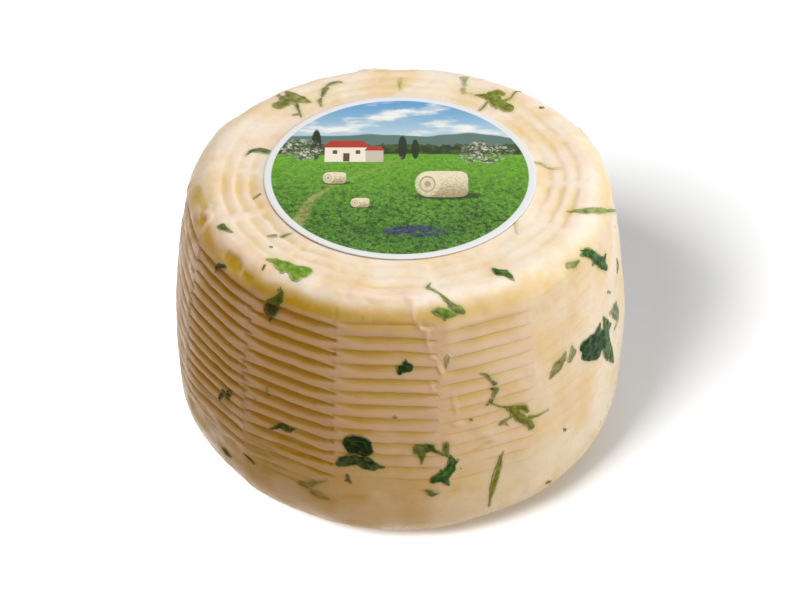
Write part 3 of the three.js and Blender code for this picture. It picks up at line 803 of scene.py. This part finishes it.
# The part of a square net that lies inside an outline: places and faces, cut at its edge
def cutNet(xs, ys, field):
    places, faces, known = [], [], {}

    def keep(key, x, y):
        if key not in known:
            known[key] = len(places)
            places.append((x, y))
        return known[key]

    def crossing(i, j, k, l):
        (i, j), (k, l) = sorted([(i, j), (k, l)])
        share = np.clip(field[i, j] / (field[i, j] - field[k, l]), 0.08, 0.92)
        return keep((i, j, k, l), lerp(xs[i], xs[k], share), lerp(ys[j], ys[l], share))

    for i in range(len(xs) - 1):
        for j in range(len(ys) - 1):
            corners = [(i, j), (i + 1, j), (i + 1, j + 1), (i, j + 1)]
            inside = [field[corner] < 0 for corner in corners]
            if not any(inside):
                continue
            face = []
            for number, corner in enumerate(corners):
                onward = corners[(number + 1) % 4]
                if inside[number]:
                    face.append(keep(corner, xs[corner[0]], ys[corner[1]]))
                if inside[number] != inside[(number + 1) % 4]:
                    face.append(crossing(*corner, *onward))
            faces.append(face)
    return np.array(places), faces


# Upper and lower faces joined by a wall round the edge
def closedSheet(faces, count):
    edges = set()
    for face in faces:
        edges |= set(zip(face, face[1:] + face[:1]))
    rim = [(a, b) for a, b in edges if (b, a) not in edges]
    lower = [[point + count for point in reversed(face)] for face in faces]
    wall = [[b, a, a + count, b + count] for a, b in sorted(rim)]
    return faces + lower + wall


# Points, faces and marks of one leaf, and the places where it covers the skin
def leafShape(strokes, middle, look, seed):
    reach = max(stroke[:, 2].max() for stroke in strokes) + 1.2
    low = np.min([stroke[:, :2].min(0) for stroke in strokes], 0) - reach
    high = np.max([stroke[:, :2].max(0) for stroke in strokes], 0) + reach
    xs = np.arange(low[0], high[0], leafMake["cell"])
    ys = np.arange(low[1], high[1], leafMake["cell"])
    x, y = np.meshgrid(xs, ys, indexing="ij")
    edges = np.array([strokeDistance(x, y, stroke)[0] for stroke in strokes])
    field = -leafMake["join"] * np.log(np.exp(-edges / leafMake["join"]).sum(0) + 1e-30)
    arc = arcAt(middle[1])
    ragged = 0
    for cells, cellLength, own, share in raggedLayers:
        layer = softNoise(middle[0] + x / arc, middle[1] + y, cells, cellLength, seed + own)
        ragged = ragged + share * layer
    field += leafMake["ragged"] * ragged * smoothStep(-field, -2.5, 0.6)
    places, faces = cutNet(xs, ys, field)

    distances = [strokeDistance(places[:, 0], places[:, 1], stroke) for stroke in strokes]
    depth = np.clip(-np.min([edge for edge, _ in distances], 0), 0, None)
    line = np.min([line for _, line in distances], 0)
    vein = bell(line, leafMake["veinWidth"]) * smoothStep(depth, 0.5, 1.2)
    azimuth = middle[0] + places[:, 0] / arc
    along = middle[1] + places[:, 1]
    cells, cellLength, own = mottleLayer
    mottle = softNoise(azimuth, along, cells, cellLength, seed + own)
    crown = leafMake["crown"] * smoothStep(depth, 0, 1.6) * (1 + 0.5 * mottle)
    height, hollow, lip = reliefAt(azimuth, along)
    height = height * leafMake["follow"]
    upper = skinPoints(azimuth, along, height, leafMake["rise"] + crown)
    lower = skinPoints(azimuth, along, height, -leafMake["sink"])
    thin = 1 - smoothStep(depth + 0.25 * mottle, 0, leafMake["softEdge"])
    values = {
        "hollow": hollow,
        "lip": lip,
        "vein": vein,
        "veil": np.clip(look["veil"] * (1 + 0.5 * mottle) + leafMake["edgeVeil"] * thin, 0, 1),
        "tone": look["tone"] + leafMake["mottle"] * mottle + 0.04 * thin,
        "olive": np.full(len(places), float(look["olive"])),
    }
    values = {key: np.tile(numbers, 2) for key, numbers in values.items()}
    return np.concatenate([upper, lower]), closedSheet(faces, len(places)), values, upper[depth > 0.2]


# One piece out of one or more leaf shapes
def addLeaf(name, shapes, material, nodes=()):
    start = 0
    faces = []
    for points, itsFaces, _, _ in shapes:
        faces += [[point + start for point in face] for face in itsFaces]
        start += len(points)
    points = np.concatenate([shape[0] for shape in shapes])
    values = {key: np.concatenate([shape[2][key] for shape in shapes]) for key in shapes[0][2]}
    piece = addPiece(name, points, faces, material, values)
    if nodes:
        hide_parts(*nodes)
    return np.concatenate([shape[3] for shape in shapes])


# Look, strokes and middle of every leaf, first those that show and then those of the far side
def allLeaves():
    for look in shownLeaves:
        yield look, *strokesOnSkin(look["strokes"])
    draw = np.random.RandomState(farLeaves["lookSeed"])
    for number, place in enumerate(farLeafPlaces(), len(shownLeaves) + 1):
        kind, azimuth, along, length, width, turn, bow = place
        strokes = leafStrokes(kind, length, width, turn, bow, number)
        look = leaf(draw.uniform(0.25, 0.65), draw.uniform(0, 0.7), draw.uniform(0, 0.3))
        yield look, strokes, (azimuth, along)


def makeLeaves(material):
    marks = []
    for number, (look, strokes, middle) in enumerate(allLeaves(), 1):
        shape = leafShape(strokes, middle, look, leafMake["seed"] + number * leafMake["seedStep"])
        marks.append(addLeaf(f"rocket_{number:02d}", [shape], material, [f"leaf_{number:02d}"]))
    return np.concatenate(marks)


def makeSpecks(material):
    shapes = []
    for number, (name, points) in enumerate(specks["strokes"].items()):
        strokes, middle = strokesOnSkin({name: points})
        seed = leafMake["speckSeed"] + number * leafMake["seedStep"]
        shapes.append(leafShape(strokes, middle, specks, seed))
    addLeaf("rocket_specks", shapes, material)


cheeseMake = {
    "staveColumns": 36,
    "crowding": 0.35,  # how much closer the columns stand at the seams
    "capRadius": 5,
    "ringsEnd": 70,
    "ringStep": 0.8,
    "shoulderStep": 0.9,
    "baseStep": 2.0,
    "stainReach": 1.0,
    "rindTop": (73, 78),  # along the outline, where the yellower side colour, partly painted shade, comes in
    "rindFoot": (128, 160),  # and where it pales again
    "rindSides": (78, 98),  # degrees from the front past which it starts lower
    "rindDrop": 5,
}


def cheeseRows():
    pitch = relief["ridgePitch"]
    top = [cheeseMake["capRadius"], 20, 36, 45, 47.5]
    rings = np.arange(48.5, cheeseMake["ringsEnd"], cheeseMake["ringStep"])
    shoulder = np.arange(cheeseMake["ringsEnd"], relief["firstGroove"] - 1, cheeseMake["shoulderStep"])
    lead = [relief["firstGroove"] - 0.5]
    ridges = [relief["firstGroove"] + pitch * (ridge + share)
              for ridge in range(relief["ridges"]) for share in ridgeShares[:-1]]
    end = relief["firstGroove"] + pitch * relief["ridges"]
    base = np.arange(end, footEdge, cheeseMake["baseStep"])
    last = outlineLength - cheeseMake["capRadius"]
    foot = [footEdge, footEdge + 2, footEdge + 14, outlineLength - 25, last]
    return np.concatenate([top, rings, shoulder, lead, ridges, base, foot])


def cheeseColumns():
    share = np.arange(cheeseMake["staveColumns"]) / cheeseMake["staveColumns"]
    share -= cheeseMake["crowding"] / (2 * math.pi) * np.sin(2 * math.pi * share)
    staves = [relief["firstSeam"] + (stave + share) * staveWidth for stave in range(relief["staves"])]
    return np.concatenate(staves)


def makeCheese(material, leafMarks):
    rows = cheeseRows()
    columns = len(cheeseColumns())
    count = len(rows)
    azimuth, base = np.meshgrid(cheeseColumns(), rows, indexing="ij")
    azimuth, base = azimuth.ravel(), base.ravel()
    along = base + warpAt(azimuth, base)
    height, hollow, lip = reliefAt(azimuth, along)
    points = skinPoints(azimuth, along, height)

    tree = KDTree(len(leafMarks))
    for number, mark in enumerate(leafMarks):
        tree.insert(mark, number)
    tree.balance()
    away = np.array([tree.find(point)[2] for point in points]) / mm
    stain = bell(away, cheeseMake["stainReach"])

    faces = []
    for column in range(columns):
        here = column * count
        there = (column + 1) % columns * count
        faces += [(here + row, here + row + 1, there + row + 1, there + row) for row in range(count - 1)]
    faces.append([column * count for column in range(columns)])
    faces.append([column * count + count - 1 for column in reversed(range(columns))])
    # yellower side colour, partly painted shade: strong on deep-pressed staves such as the shaded front
    # left, faint on the lit front right
    edge = along + 1.6 * uneven("rind", azimuth, along) + 0.8 * uneven("shortRind", azimuth, along)
    edge -= cheeseMake["rindDrop"] * smoothStep(np.abs(wrapped(azimuth)), *cheeseMake["rindSides"])
    pressed = np.clip(aroundStaves(azimuth, staveDepths) * 1.4, 0, 1)
    rind = smoothStep(edge, *cheeseMake["rindTop"]) * lerp(0.12, 1, pressed)
    rind *= 1 - 0.35 * smoothStep(edge, *cheeseMake["rindFoot"])
    values = {"hollow": hollow, "lip": lip, "stain": stain, "rind": rind}
    cheese = addPiece("cheese_skin", points, faces, material, values)
    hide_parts("cheese_wheel")


def tint(red, green, blue):
    parts = []
    for part in (red, green, blue):
        part = part / 255
        parts.append(part / 12.92 if part <= 0.04045 else ((part + 0.055) / 1.055) ** 2.4)
    return (*parts, 1.0)


def isSocket(value):
    return isinstance(value, bpy.types.NodeSocket)


def feed(socket, value):
    if isSocket(value):
        socket.id_data.links.new(value, socket)
    else:
        socket.default_value = value


# A node in the tree that its inputs come from
def addNode(kind, inputs, **settings):
    tree = next(value for value in inputs.values() if isSocket(value)).id_data
    node = tree.nodes.new(kind)
    for key, value in settings.items():
        setattr(node, key, value)
    for key, value in inputs.items():
        feed(node.inputs[key], value)
    return node


def calc(operation, first, second=0.0, clamp=False):
    inputs = {0: first, 1: second}
    return addNode("ShaderNodeMath", inputs, operation=operation, use_clamp=clamp).outputs[0]


def plus(first, second, clamp=False):
    return calc("ADD", first, second, clamp)


def minus(first, second, clamp=False):
    return calc("SUBTRACT", first, second, clamp)


def times(first, second, clamp=False):
    return calc("MULTIPLY", first, second, clamp)


def mixColour(share, first, second):
    return addNode("ShaderNodeMix", {0: share, 6: first, 7: second}, data_type="RGBA").outputs[2]


def fromTo(value, low, high, newLow=0.0, newHigh=1.0):
    inputs = {0: value, 1: low, 2: high, 3: newLow, 4: newHigh}
    return addNode("ShaderNodeMapRange", inputs, interpolation_type="SMOOTHSTEP").outputs[0]


def noise(vector, scale, detail=2.0, roughness=0.5):
    inputs = {"Vector": vector, "Scale": scale, "Detail": detail, "Roughness": roughness}
    return addNode("ShaderNodeTexNoise", inputs).outputs[0]


def stretched(vector, scale):
    return addNode("ShaderNodeMapping", {"Vector": vector, "Scale": scale}).outputs[0]


def colourRamp(value, stops):
    node = addNode("ShaderNodeValToRGB", {0: value})
    elements = node.color_ramp.elements
    while len(elements) < len(stops):
        elements.new(0.5)
    for element, (place, colour) in zip(elements, stops):
        element.position = place
        element.color = tint(*colour)
    return node.outputs[0]


def attribute(material, name):
    node = material.node_tree.nodes.new("ShaderNodeAttribute")
    node.attribute_name = name
    return node.outputs["Fac"]


def newGroup(name, inputs, outputs):
    group = bpy.data.node_groups.new(name, "ShaderNodeTree")
    group.interface.new_socket("Vector", in_out="INPUT", socket_type="NodeSocketVector")
    for label, default in inputs.items():
        socket = group.interface.new_socket(label, in_out="INPUT", socket_type="NodeSocketFloat")
        socket.default_value = default
    for label, kind in outputs.items():
        group.interface.new_socket(label, in_out="OUTPUT", socket_type=kind)
    given = group.nodes.new("NodeGroupInput").outputs
    return group, given, group.nodes.new("NodeGroupOutput").inputs


def useGroup(group, **inputs):
    return addNode("ShaderNodeGroup", inputs, node_tree=group).outputs


def newMaterial(name):
    material = bpy.data.materials.new(name)
    material.use_nodes = True
    nodes = material.node_tree.nodes
    nodes.clear()
    shader = nodes.new("ShaderNodeBsdfPrincipled")
    output = nodes.new("ShaderNodeOutputMaterial")
    feed(output.inputs["Surface"], shader.outputs[0])
    return material, shader, nodes.new("ShaderNodeTexCoord").outputs["Object"]


# the mustard of the hollows and the side's rind colour are partly painted shade; the lip colour is partly
# painted highlight
skinColours = {
    "cream": (250, 238, 227),
    "shade": (240, 216, 178),
    "rind": (240, 207, 142),
    "mustard": (216, 183, 38),
    "lip": (253, 224, 212),
    "stain": (190, 186, 120),
}
# Scale, detail and roughness of its patches
skinPatches = {
    "cloud": (55.0, 3.0, 0.55),
    "speckle": (420.0, 2.0),
    "streaks": (60.0, 4.0, 0.6),
    "streakStretch": (1.0, 1.0, 6.0),
}


# The colour of the cheese's skin from its marks, with painted shade in the mustard and rind colours
# and painted highlight in the lip colour and its pale streaks
def makeSkinTone():
    inputs = {"Hollow": 0.0, "Lip": 0.0, "Rind": 0.0, "Stain": 0.0}
    group, given, result = newGroup("skinTone", inputs, {"Colour": "NodeSocketColor"})
    colours = {name: tint(*colour) for name, colour in skinColours.items()}
    cloud = noise(given["Vector"], *skinPatches["cloud"])
    speckle = noise(given["Vector"], *skinPatches["speckle"])
    colour = mixColour(fromTo(cloud, 0.38, 0.68), colours["cream"], colours["shade"])
    # partly painted shade: the yellower side colour, then the mustard of the hollows
    rind = times(given["Rind"], fromTo(cloud, 0.2, 0.7, 0.7, 1.0), True)
    colour = mixColour(rind, colour, colours["rind"])
    hollow = times(given["Hollow"], fromTo(speckle, 0.2, 0.7, 0.8, 1.0), True)
    colour = mixColour(hollow, colour, colours["mustard"])
    # partly painted highlight: the pale lip colour on lips and crests, and pale streaks of it off the
    # hollows
    colour = mixColour(times(given["Lip"], 0.8, True), colour, colours["lip"])
    drawn = stretched(given["Vector"], skinPatches["streakStretch"])
    streaks = fromTo(noise(drawn, *skinPatches["streaks"]), 0.5, 0.68, 0.0, 0.4)
    streaks = times(streaks, minus(1.0, hollow, True))
    colour = mixColour(streaks, colour, colours["lip"])
    stain = times(given["Stain"], fromTo(cloud, 0.3, 0.7, 0.25, 0.6), True)
    feed(result["Colour"], mixColour(stain, colour, colours["stain"]))
    return group


# A wet film: patches of more and less gloss, and fine unevenness
def makeMoistFilm():
    outputs = {"Roughness": "NodeSocketFloat", "Height": "NodeSocketFloat"}
    group, given, result = newGroup("moistFilm", {"Wet": 0.3, "Dry": 0.5, "Scale": 120.0}, outputs)
    patches = noise(given["Vector"], given["Scale"], 3.0, 0.6)
    fine = noise(given["Vector"], times(given["Scale"], 6.0), 3.0, 0.6)
    feed(result["Roughness"], fromTo(patches, 0.35, 0.65, given["Wet"], given["Dry"]))
    feed(result["Height"], plus(patches, times(fine, 0.35)))
    return group


# A material's colour, film, bump and the shader's own values
def finishMaterial(shader, place, colour, moistFilm, finish):
    film = useGroup(moistFilm, Vector=place, Wet=finish["wet"], Dry=finish["dry"],
                    Scale=finish["filmScale"])
    bump = {"Height": film["Height"], "Strength": finish["bump"], "Distance": finish["bumpDepth"]}
    feed(shader.inputs["Base Color"], colour)
    feed(shader.inputs["Roughness"], film["Roughness"])
    feed(shader.inputs["Normal"], addNode("ShaderNodeBump", bump).outputs[0])
    for key, value in finish["shader"].items():
        shader.inputs[key].default_value = value


cheeseFinish = {
    "shader": {"Subsurface Weight": 0.45, "Subsurface Radius": (1.0, 0.5, 0.22),
               "Subsurface Scale": 0.0016, "Coat Weight": 0.15, "Coat Roughness": 0.2,
               "IOR": 1.4, "Specular IOR Level": 0.26},
    "wet": 0.26,
    "dry": 0.52,
    "filmScale": 110.0,
    "bump": 0.4,
    "bumpDepth": 0.0003,  # metres
}


def makeCheeseMaterial(skinTone, moistFilm):
    material, shader, place = newMaterial("fresh_cheese")
    marks = {name: attribute(material, name.lower()) for name in ("Hollow", "Lip", "Rind", "Stain")}
    colour = useGroup(skinTone, Vector=place, **marks)["Colour"]
    finishMaterial(shader, place, colour, moistFilm, cheeseFinish)
    return material


leafFinish = {
    "green": [(0.0, (10, 22, 12)), (0.2, (18, 50, 22)), (0.36, (30, 78, 32)),
              (0.5, (52, 104, 40)), (0.72, (112, 156, 48)), (1.0, (172, 196, 96))],
    "olive": [(0.0, (30, 28, 12)), (0.36, (76, 80, 28)), (0.5, (112, 112, 40)),
              (0.72, (150, 148, 58)), (1.0, (190, 184, 110))],
    "vein": (150, 170, 90),
    "veinShare": 0.1,
    "mottle": (420.0, 3.0, 0.6),
    "stain": 0.6,  # of the cheese that lies over a leaf
    "shader": {"Subsurface Weight": 0.1, "Subsurface Radius": (0.6, 0.9, 0.3),
               "Subsurface Scale": 0.001, "Coat Weight": 0.0, "IOR": 1.4,
               "Specular IOR Level": 0.07},
    "wet": 0.3,
    "dry": 0.55,
    "filmScale": 260.0,
    "bump": 0.35,
    "bumpDepth": 0.0002,
}


def makeLeafMaterial(skinTone, moistFilm):
    material, shader, place = newMaterial("rocket_leaf")
    hollow, lip, tone, olive, vein, veil = [
        attribute(material, name) for name in ("hollow", "lip", "tone", "olive", "vein", "veil")]
    # the cheese over a leaf takes the skin's colour, with its painted shade in the hollows and painted
    # highlight on the lips
    film = useGroup(skinTone, Vector=place, Hollow=hollow, Lip=lip, Stain=leafFinish["stain"])
    mottle = noise(place, *leafFinish["mottle"])
    tone = plus(tone, fromTo(mottle, 0.3, 0.7, -0.05, 0.05))
    colour = mixColour(olive, colourRamp(tone, leafFinish["green"]), colourRamp(tone, leafFinish["olive"]))
    colour = mixColour(times(vein, leafFinish["veinShare"]), colour, tint(*leafFinish["vein"]))
    veil = plus(veil, fromTo(mottle, 0.3, 0.7, -0.08, 0.08), True)
    finishMaterial(shader, place, mixColour(veil, colour, film["Colour"]), moistFilm, leafFinish)
    return material


labelMake = {
    "columns": 240,
    "rows": [0.03, 0.12, 0.25, 0.38, 0.5, 0.62, 0.74, 0.84, 0.92, 0.97, 0.992, 1],  # of the radius
    "thickness": 0.3,
    "wave": 0.12,
    "edgeRound": 0.06,
}

labelFinish = {"shader": {}, "wet": 0.38, "dry": 0.48, "filmScale": 60.0, "bump": 0.15, "bumpDepth": 0.0002}

# The print: places are shares of the printed picture's radius, right and up
labelPrint = {
    "border": 0.945,  # share of the label that is printed
    "hillTop": 0.5,
    "treeTop": 0.42,
    "fieldTop": 0.27,
    # colour, middle, half width, half height and how much narrower the top is
    "house": [
        ("wall", -0.42, 0.27, 0.17, 0.1, 0.0),
        ("wallShade", -0.2, 0.25, 0.07, 0.08, 0.0),
        ("roof", -0.42, 0.405, 0.19, 0.045, 0.03),
        ("roof", -0.2, 0.35, 0.08, 0.03, 0.015),
        ("door", -0.42, 0.23, 0.025, 0.055, 0.0),
        ("door", -0.51, 0.3, 0.018, 0.025, 0.0),
        ("door", -0.33, 0.3, 0.018, 0.025, 0.0),
    ],
    # middle, half width and half height
    "cypresses": [(-0.66, 0.4, 0.04, 0.2), (0.02, 0.36, 0.035, 0.16), (0.12, 0.34, 0.03, 0.13)],
    # colours, middle, half width, half height and softness
    "bushes": [
        ("crown", "blossom", -0.78, 0.34, 0.17, 0.15, 0.35),
        ("crown", "blossom", 0.66, 0.3, 0.24, 0.16, 0.35),
        ("grassDark", "flower", 0.12, -0.72, 0.3, 0.08, 0.6),
    ],
    # middle and half height
    "bales": [(0.34, -0.12, 0.17), (-0.5, -0.04, 0.075), (-0.3, -0.36, 0.06)],
    "baleRings": [(0.95, "bale"), (0.62, "baleShade"), (0.5, "bale"), (0.24, "baleShade")],
}

labelInks = {
    "paper": (234, 239, 248),
    "skyTop": (96, 164, 220),
    "skyLow": (196, 222, 238),
    "cloud": (246, 249, 252),
    "hills": (92, 124, 120),
    "trees": (30, 54, 26),
    "crown": (64, 92, 40),
    "cypress": (20, 46, 24),
    "fieldFar": (104, 172, 40),
    "fieldNear": (58, 122, 22),
    "grassDark": (12, 46, 10),
    "grassTip": (154, 206, 72),
    "path": (176, 168, 110),
    "wall": (244, 238, 226),
    "wallShade": (206, 196, 184),
    "roof": (178, 52, 36),
    "door": (96, 70, 52),
    "blossom": (226, 222, 220),
    "flower": (70, 74, 168),
    "bale": (240, 232, 206),
    "baleShade": (158, 144, 104),
}

# Scale, detail and roughness of the print's patches
labelPatches = {
    "clouds": (45.0, 5.0, 0.55),
    "hills": (30.0, 2.0),
    "tufts": (260.0, 3.0, 0.6),
    "grass": (560.0, 6.0, 0.85),
    "blades": (1500.0, 2.0, 0.8),
    "broad": (70.0, 2.0),
    "path": (500.0, 3.0, 0.7),
    "straw": (900.0, 4.0, 0.8),
    "petals": (620.0, 4.0, 0.75),
    "clumps": (210.0, 3.0, 0.6),
}


def makeLabel(material):
    low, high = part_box("label")
    radius = (high.x - low.x) / 2 / mm
    bottom = low.z / mm
    columns = labelMake["columns"]
    turn = np.arange(columns) * 2 * math.pi / columns
    points, faces = [], []
    for level in ("top", "bottom"):
        shares = labelMake["rows"] if level == "top" else labelMake["rows"][::-1]
        for share in shares:
            drop = labelMake["edgeRound"] if share == 1 else 0
            rise = labelMake["thickness"] - drop if level == "top" else drop
            wave = labelMake["wave"] * share ** 2 * (0.5 + 0.5 * np.sin(3 * turn + 2 * share + 0.6))
            reach = radius * share
            ring = np.stack([reach * np.cos(turn), reach * np.sin(turn), bottom + rise + wave], -1)
            points.append(ring * mm)
    for ring in range(len(points) - 1):
        start = ring * columns
        for column in range(columns):
            beside = (column + 1) % columns
            near, far = start + column, start + beside
            faces.append((near, near + columns, far + columns, far))
    last = (len(points) - 1) * columns
    faces.append(list(range(columns)))
    faces.append([last + column for column in reversed(range(columns))])
    label = addPiece("printed_label", np.concatenate(points), faces, material)
    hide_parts("label")


def ink(name):
    return tint(*labelInks[name])


# Masks of the print, 1 inside a shape and 0 outside. A spot is its place right and up.
def ovalMask(spot, x, y, wide, high, soft=0.06, power=2.0):
    across = calc("ABSOLUTE", calc("DIVIDE", minus(spot[0], x), wide))
    up = calc("ABSOLUTE", calc("DIVIDE", minus(spot[1], y), high))
    away = plus(calc("POWER", across, power), calc("POWER", up, power))
    return fromTo(away, 1 - soft, 1 + soft, 1.0, 0.0)


def boxMask(spot, x, y, wide, high, taper):
    up = calc("DIVIDE", minus(spot[1], y), high)
    reach = minus(wide, times(plus(up, 1.0), taper))
    across = minus(calc("ABSOLUTE", minus(spot[0], x)), reach)
    insideHigh = fromTo(calc("ABSOLUTE", up), 0.96, 1.04, 1.0, 0.0)
    return times(fromTo(across, -0.004, 0.004, 1.0, 0.0), insideHigh)


def belowMask(spot, line, soft=0.01):
    return fromTo(minus(spot[1], line), -soft, soft, 1.0, 0.0)


def paintSky(spot, place):
    colour = mixColour(fromTo(spot[1], 0.35, 1.0), ink("skyLow"), ink("skyTop"))
    cloud = noise(stretched(place, (1.0, 2.6, 1.0)), *labelPatches["clouds"])
    return mixColour(fromTo(cloud, 0.48, 0.66), colour, ink("cloud"))


def paintCountry(spot, place, colour):
    hillLine = plus(times(noise(place, *labelPatches["hills"]), 0.3), labelPrint["hillTop"] - 0.15)
    colour = mixColour(belowMask(spot, hillLine), colour, ink("hills"))
    tufts = noise(place, *labelPatches["tufts"])
    treeLine = plus(times(tufts, 0.16), labelPrint["treeTop"] - 0.1)
    woods = mixColour(fromTo(tufts, 0.4, 0.65), ink("trees"), ink("crown"))
    colour = mixColour(belowMask(spot, treeLine), colour, woods)
    grass = noise(place, *labelPatches["grass"])
    blades = noise(place, *labelPatches["blades"])
    broad = noise(place, *labelPatches["broad"])
    near = fromTo(spot[1], labelPrint["fieldTop"], -0.7)
    field = mixColour(near, ink("fieldFar"), ink("fieldNear"))
    field = mixColour(fromTo(broad, 0.35, 0.7, 0.0, 0.5), field, ink("fieldFar"))
    field = mixColour(fromTo(blades, 0.5, 0.65, 0.0, 0.5), field, ink("grassTip"))
    dark = times(fromTo(grass, 0.44, 0.6), fromTo(near, 0.0, 1.0, 0.4, 0.95))
    field = mixColour(dark, field, ink("grassDark"))
    fieldLine = plus(times(broad, 0.06), labelPrint["fieldTop"] - 0.03)
    return mixColour(belowMask(spot, fieldLine), colour, field)


def paintFarm(spot, place, colour):
    for name, *shape in labelPrint["house"]:
        colour = mixColour(boxMask(spot, *shape), colour, ink(name))
    for shape in labelPrint["cypresses"]:
        colour = mixColour(ovalMask(spot, *shape, 0.2), colour, ink("cypress"))
    return colour


def paintPath(spot, place, colour):
    wind = times(calc("SINE", times(spot[1], 6.5)), 0.1)
    middle = minus(plus(wind, times(spot[1], 0.9)), 0.3)
    half = fromTo(spot[1], 0.25, -1.0, 0.008, 0.07)
    away = minus(calc("ABSOLUTE", minus(spot[0], middle)), half)
    tufts = fromTo(noise(place, *labelPatches["path"]), 0.4, 0.6, 0.25, 0.75)
    mask = times(fromTo(away, -0.02, 0.02, 1.0, 0.0), belowMask(spot, 0.24))
    return mixColour(times(mask, tufts), colour, ink("path"))


def paintBushes(spot, place, colour):
    petals = fromTo(noise(place, *labelPatches["petals"]), 0.46, 0.6, 0.0, 0.85)
    clumps = fromTo(noise(place, *labelPatches["clumps"]), 0.3, 0.7, -1.0, 0.3)
    for under, over, *shape in labelPrint["bushes"]:
        mask = ovalMask(spot, *shape)
        ragged = times(plus(mask, clumps, True), mask)
        colour = mixColour(ragged, colour, mixColour(petals, ink(under), ink(over)))
    return colour


# Round bales on the meadow, lit from above, each with its shadow on the grass
def paintBales(spot, place, colour):
    straw = fromTo(noise(place, *labelPatches["straw"]), 0.35, 0.65, -0.3, 0.3)
    for x, y, size in labelPrint["bales"]:
        shadow = ovalMask(spot, x + 0.2 * size, y - 0.9 * size, 1.5 * size, 0.3 * size, 0.5)
        colour = mixColour(times(shadow, 0.8), colour, ink("grassDark"))
        lit = plus(fromTo(spot[1], y - 1.2 * size, y + 0.9 * size), straw, True)
        side = mixColour(lit, ink("baleShade"), ink("bale"))
        colour = mixColour(ovalMask(spot, x, y, 1.1 * size, size, 0.1, 5.0), colour, side)
        dull = plus(fromTo(spot[1], y - size, y + size, 0.5, 0.9), straw, True)
        for share, name in labelPrint["baleRings"]:
            face = ovalMask(spot, x - 0.75 * size, y, 0.6 * share * size, share * size, 0.12)
            colour = mixColour(times(face, dull), colour, ink(name))
    return colour


def makeLabelMaterial(moistFilm):
    low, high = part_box("label")
    printed = (high.x - low.x) / 2 * labelPrint["border"]
    material, shader, place = newMaterial("paper_label")
    parts = addNode("ShaderNodeSeparateXYZ", {0: place}).outputs
    spot = [calc("DIVIDE", part, printed) for part in parts[:2]]
    colour = paintSky(spot, place)
    for paint in (paintCountry, paintFarm, paintPath, paintBushes, paintBales):
        colour = paint(spot, place, colour)
    inside = ovalMask(spot, 0.0, 0.0, 1.0, 1.0, 0.01)
    colour = mixColour(inside, ink("paper"), colour)
    finishMaterial(shader, place, colour, moistFilm, labelFinish)
    return material


studio = {
    "floorSize": 6,  # metres
    "floorDrop": 0.0005,  # metres under the foot
    "floorColours": ((226, 226, 226), (232, 232, 232)),
    "floorPatches": (3.0, 2.0),
    "floorShader": {"Roughness": 0.9, "Specular IOR Level": 0.0,
                    "Emission Color": (1.0, 1.0, 1.0, 1.0), "Emission Strength": 0.2},
    "world": (0.262, 0.172, 0.056, 1.0),
    # place and size in metres, watts, colour, and whether it lights the cheese or the floor
    "lights": {
        "overhead": ((0.1, 0.35, 1.5), 1.2, 17.6, (0.87, 0.93, 1.0), "cheese"),
        "right": ((1.1, -0.9, 0.6), 0.8, 7.4, (1.0, 0.94, 0.78), "cheese"),
        "farRight": ((1.35, -0.1, 0.4), 0.7, 7.2, (0.76, 0.92, 1.0), "cheese"),
        "forFloor": ((-0.85, -1.0, 1.4), 0.8, 62, (1.0, 1.0, 1.0), "floor"),
        "overFloor": ((0.5, 0.7, 2.0), 3.0, 24, (0.35, 0.64, 1.0), "floor"),
    },
}


def makeFloor():
    half = studio["floorSize"] / 2
    corners = [(-half, -half, 0), (half, -half, 0), (half, half, 0), (-half, half, 0)]
    mesh = bpy.data.meshes.new("floor")
    mesh.from_pydata(corners, [], [(0, 1, 2, 3)])
    floor = bpy.data.objects.new("floor", mesh)
    collection = bpy.data.collections.new("floor_pieces")
    bpy.context.scene.collection.children.link(collection)
    collection.objects.link(floor)
    floor.visible_diffuse = False  # the floor throws no light up onto the cheese
    floor.location.z = -studio["floorDrop"]
    material, shader, place = newMaterial("floor_paper")
    first, second = [tint(*colour) for colour in studio["floorColours"]]
    colour = mixColour(noise(place, *studio["floorPatches"]), first, second)
    feed(shader.inputs["Base Color"], colour)
    for key, value in studio["floorShader"].items():
        shader.inputs[key].default_value = value
    mesh.materials.append(material)
    return collection


def makeLights(floorPieces):
    receivers = {"cheese": cheesePieces, "floor": floorPieces}
    for name, (place, size, watts, colour, receiver) in studio["lights"].items():
        data = bpy.data.lights.new(name, "AREA")
        data.size = size
        data.energy = watts
        data.color = colour
        light = bpy.data.objects.new(name, data)
        bpy.context.scene.collection.objects.link(light)
        light.location = place
        aim = Vector((0, 0, wheel["height"] / 2 * mm)) - Vector(place)
        light.rotation_euler = aim.to_track_quat("-Z", "Y").to_euler()
        light.light_linking.receiver_collection = receivers[receiver]


def makeWorld():
    world = bpy.data.worlds.new("studio")
    world.use_nodes = True
    background = world.node_tree.nodes["Background"]
    background.inputs["Color"].default_value = studio["world"]
    background.inputs["Strength"].default_value = 1.0
    bpy.context.scene.world = world
    bpy.context.scene.view_settings.view_transform = "Standard"


makeCamera()
makeLights(makeFloor())
makeWorld()
placedMarks = placeMarks()
print("camera, floor and lights are set")

skinTone = makeSkinTone()
moistFilm = makeMoistFilm()
leafMaterial = makeLeafMaterial(skinTone, moistFilm)
leafMarks = makeLeaves(leafMaterial)
print("leaves are cut:", len(shownLeaves) + farLeaves["count"])

makeSpecks(leafMaterial)
makeCheese(makeCheeseMaterial(skinTone, moistFilm), leafMarks)
print("cheese is turned out")

makeLabel(makeLabelMaterial(moistFilm))
print("label is printed")
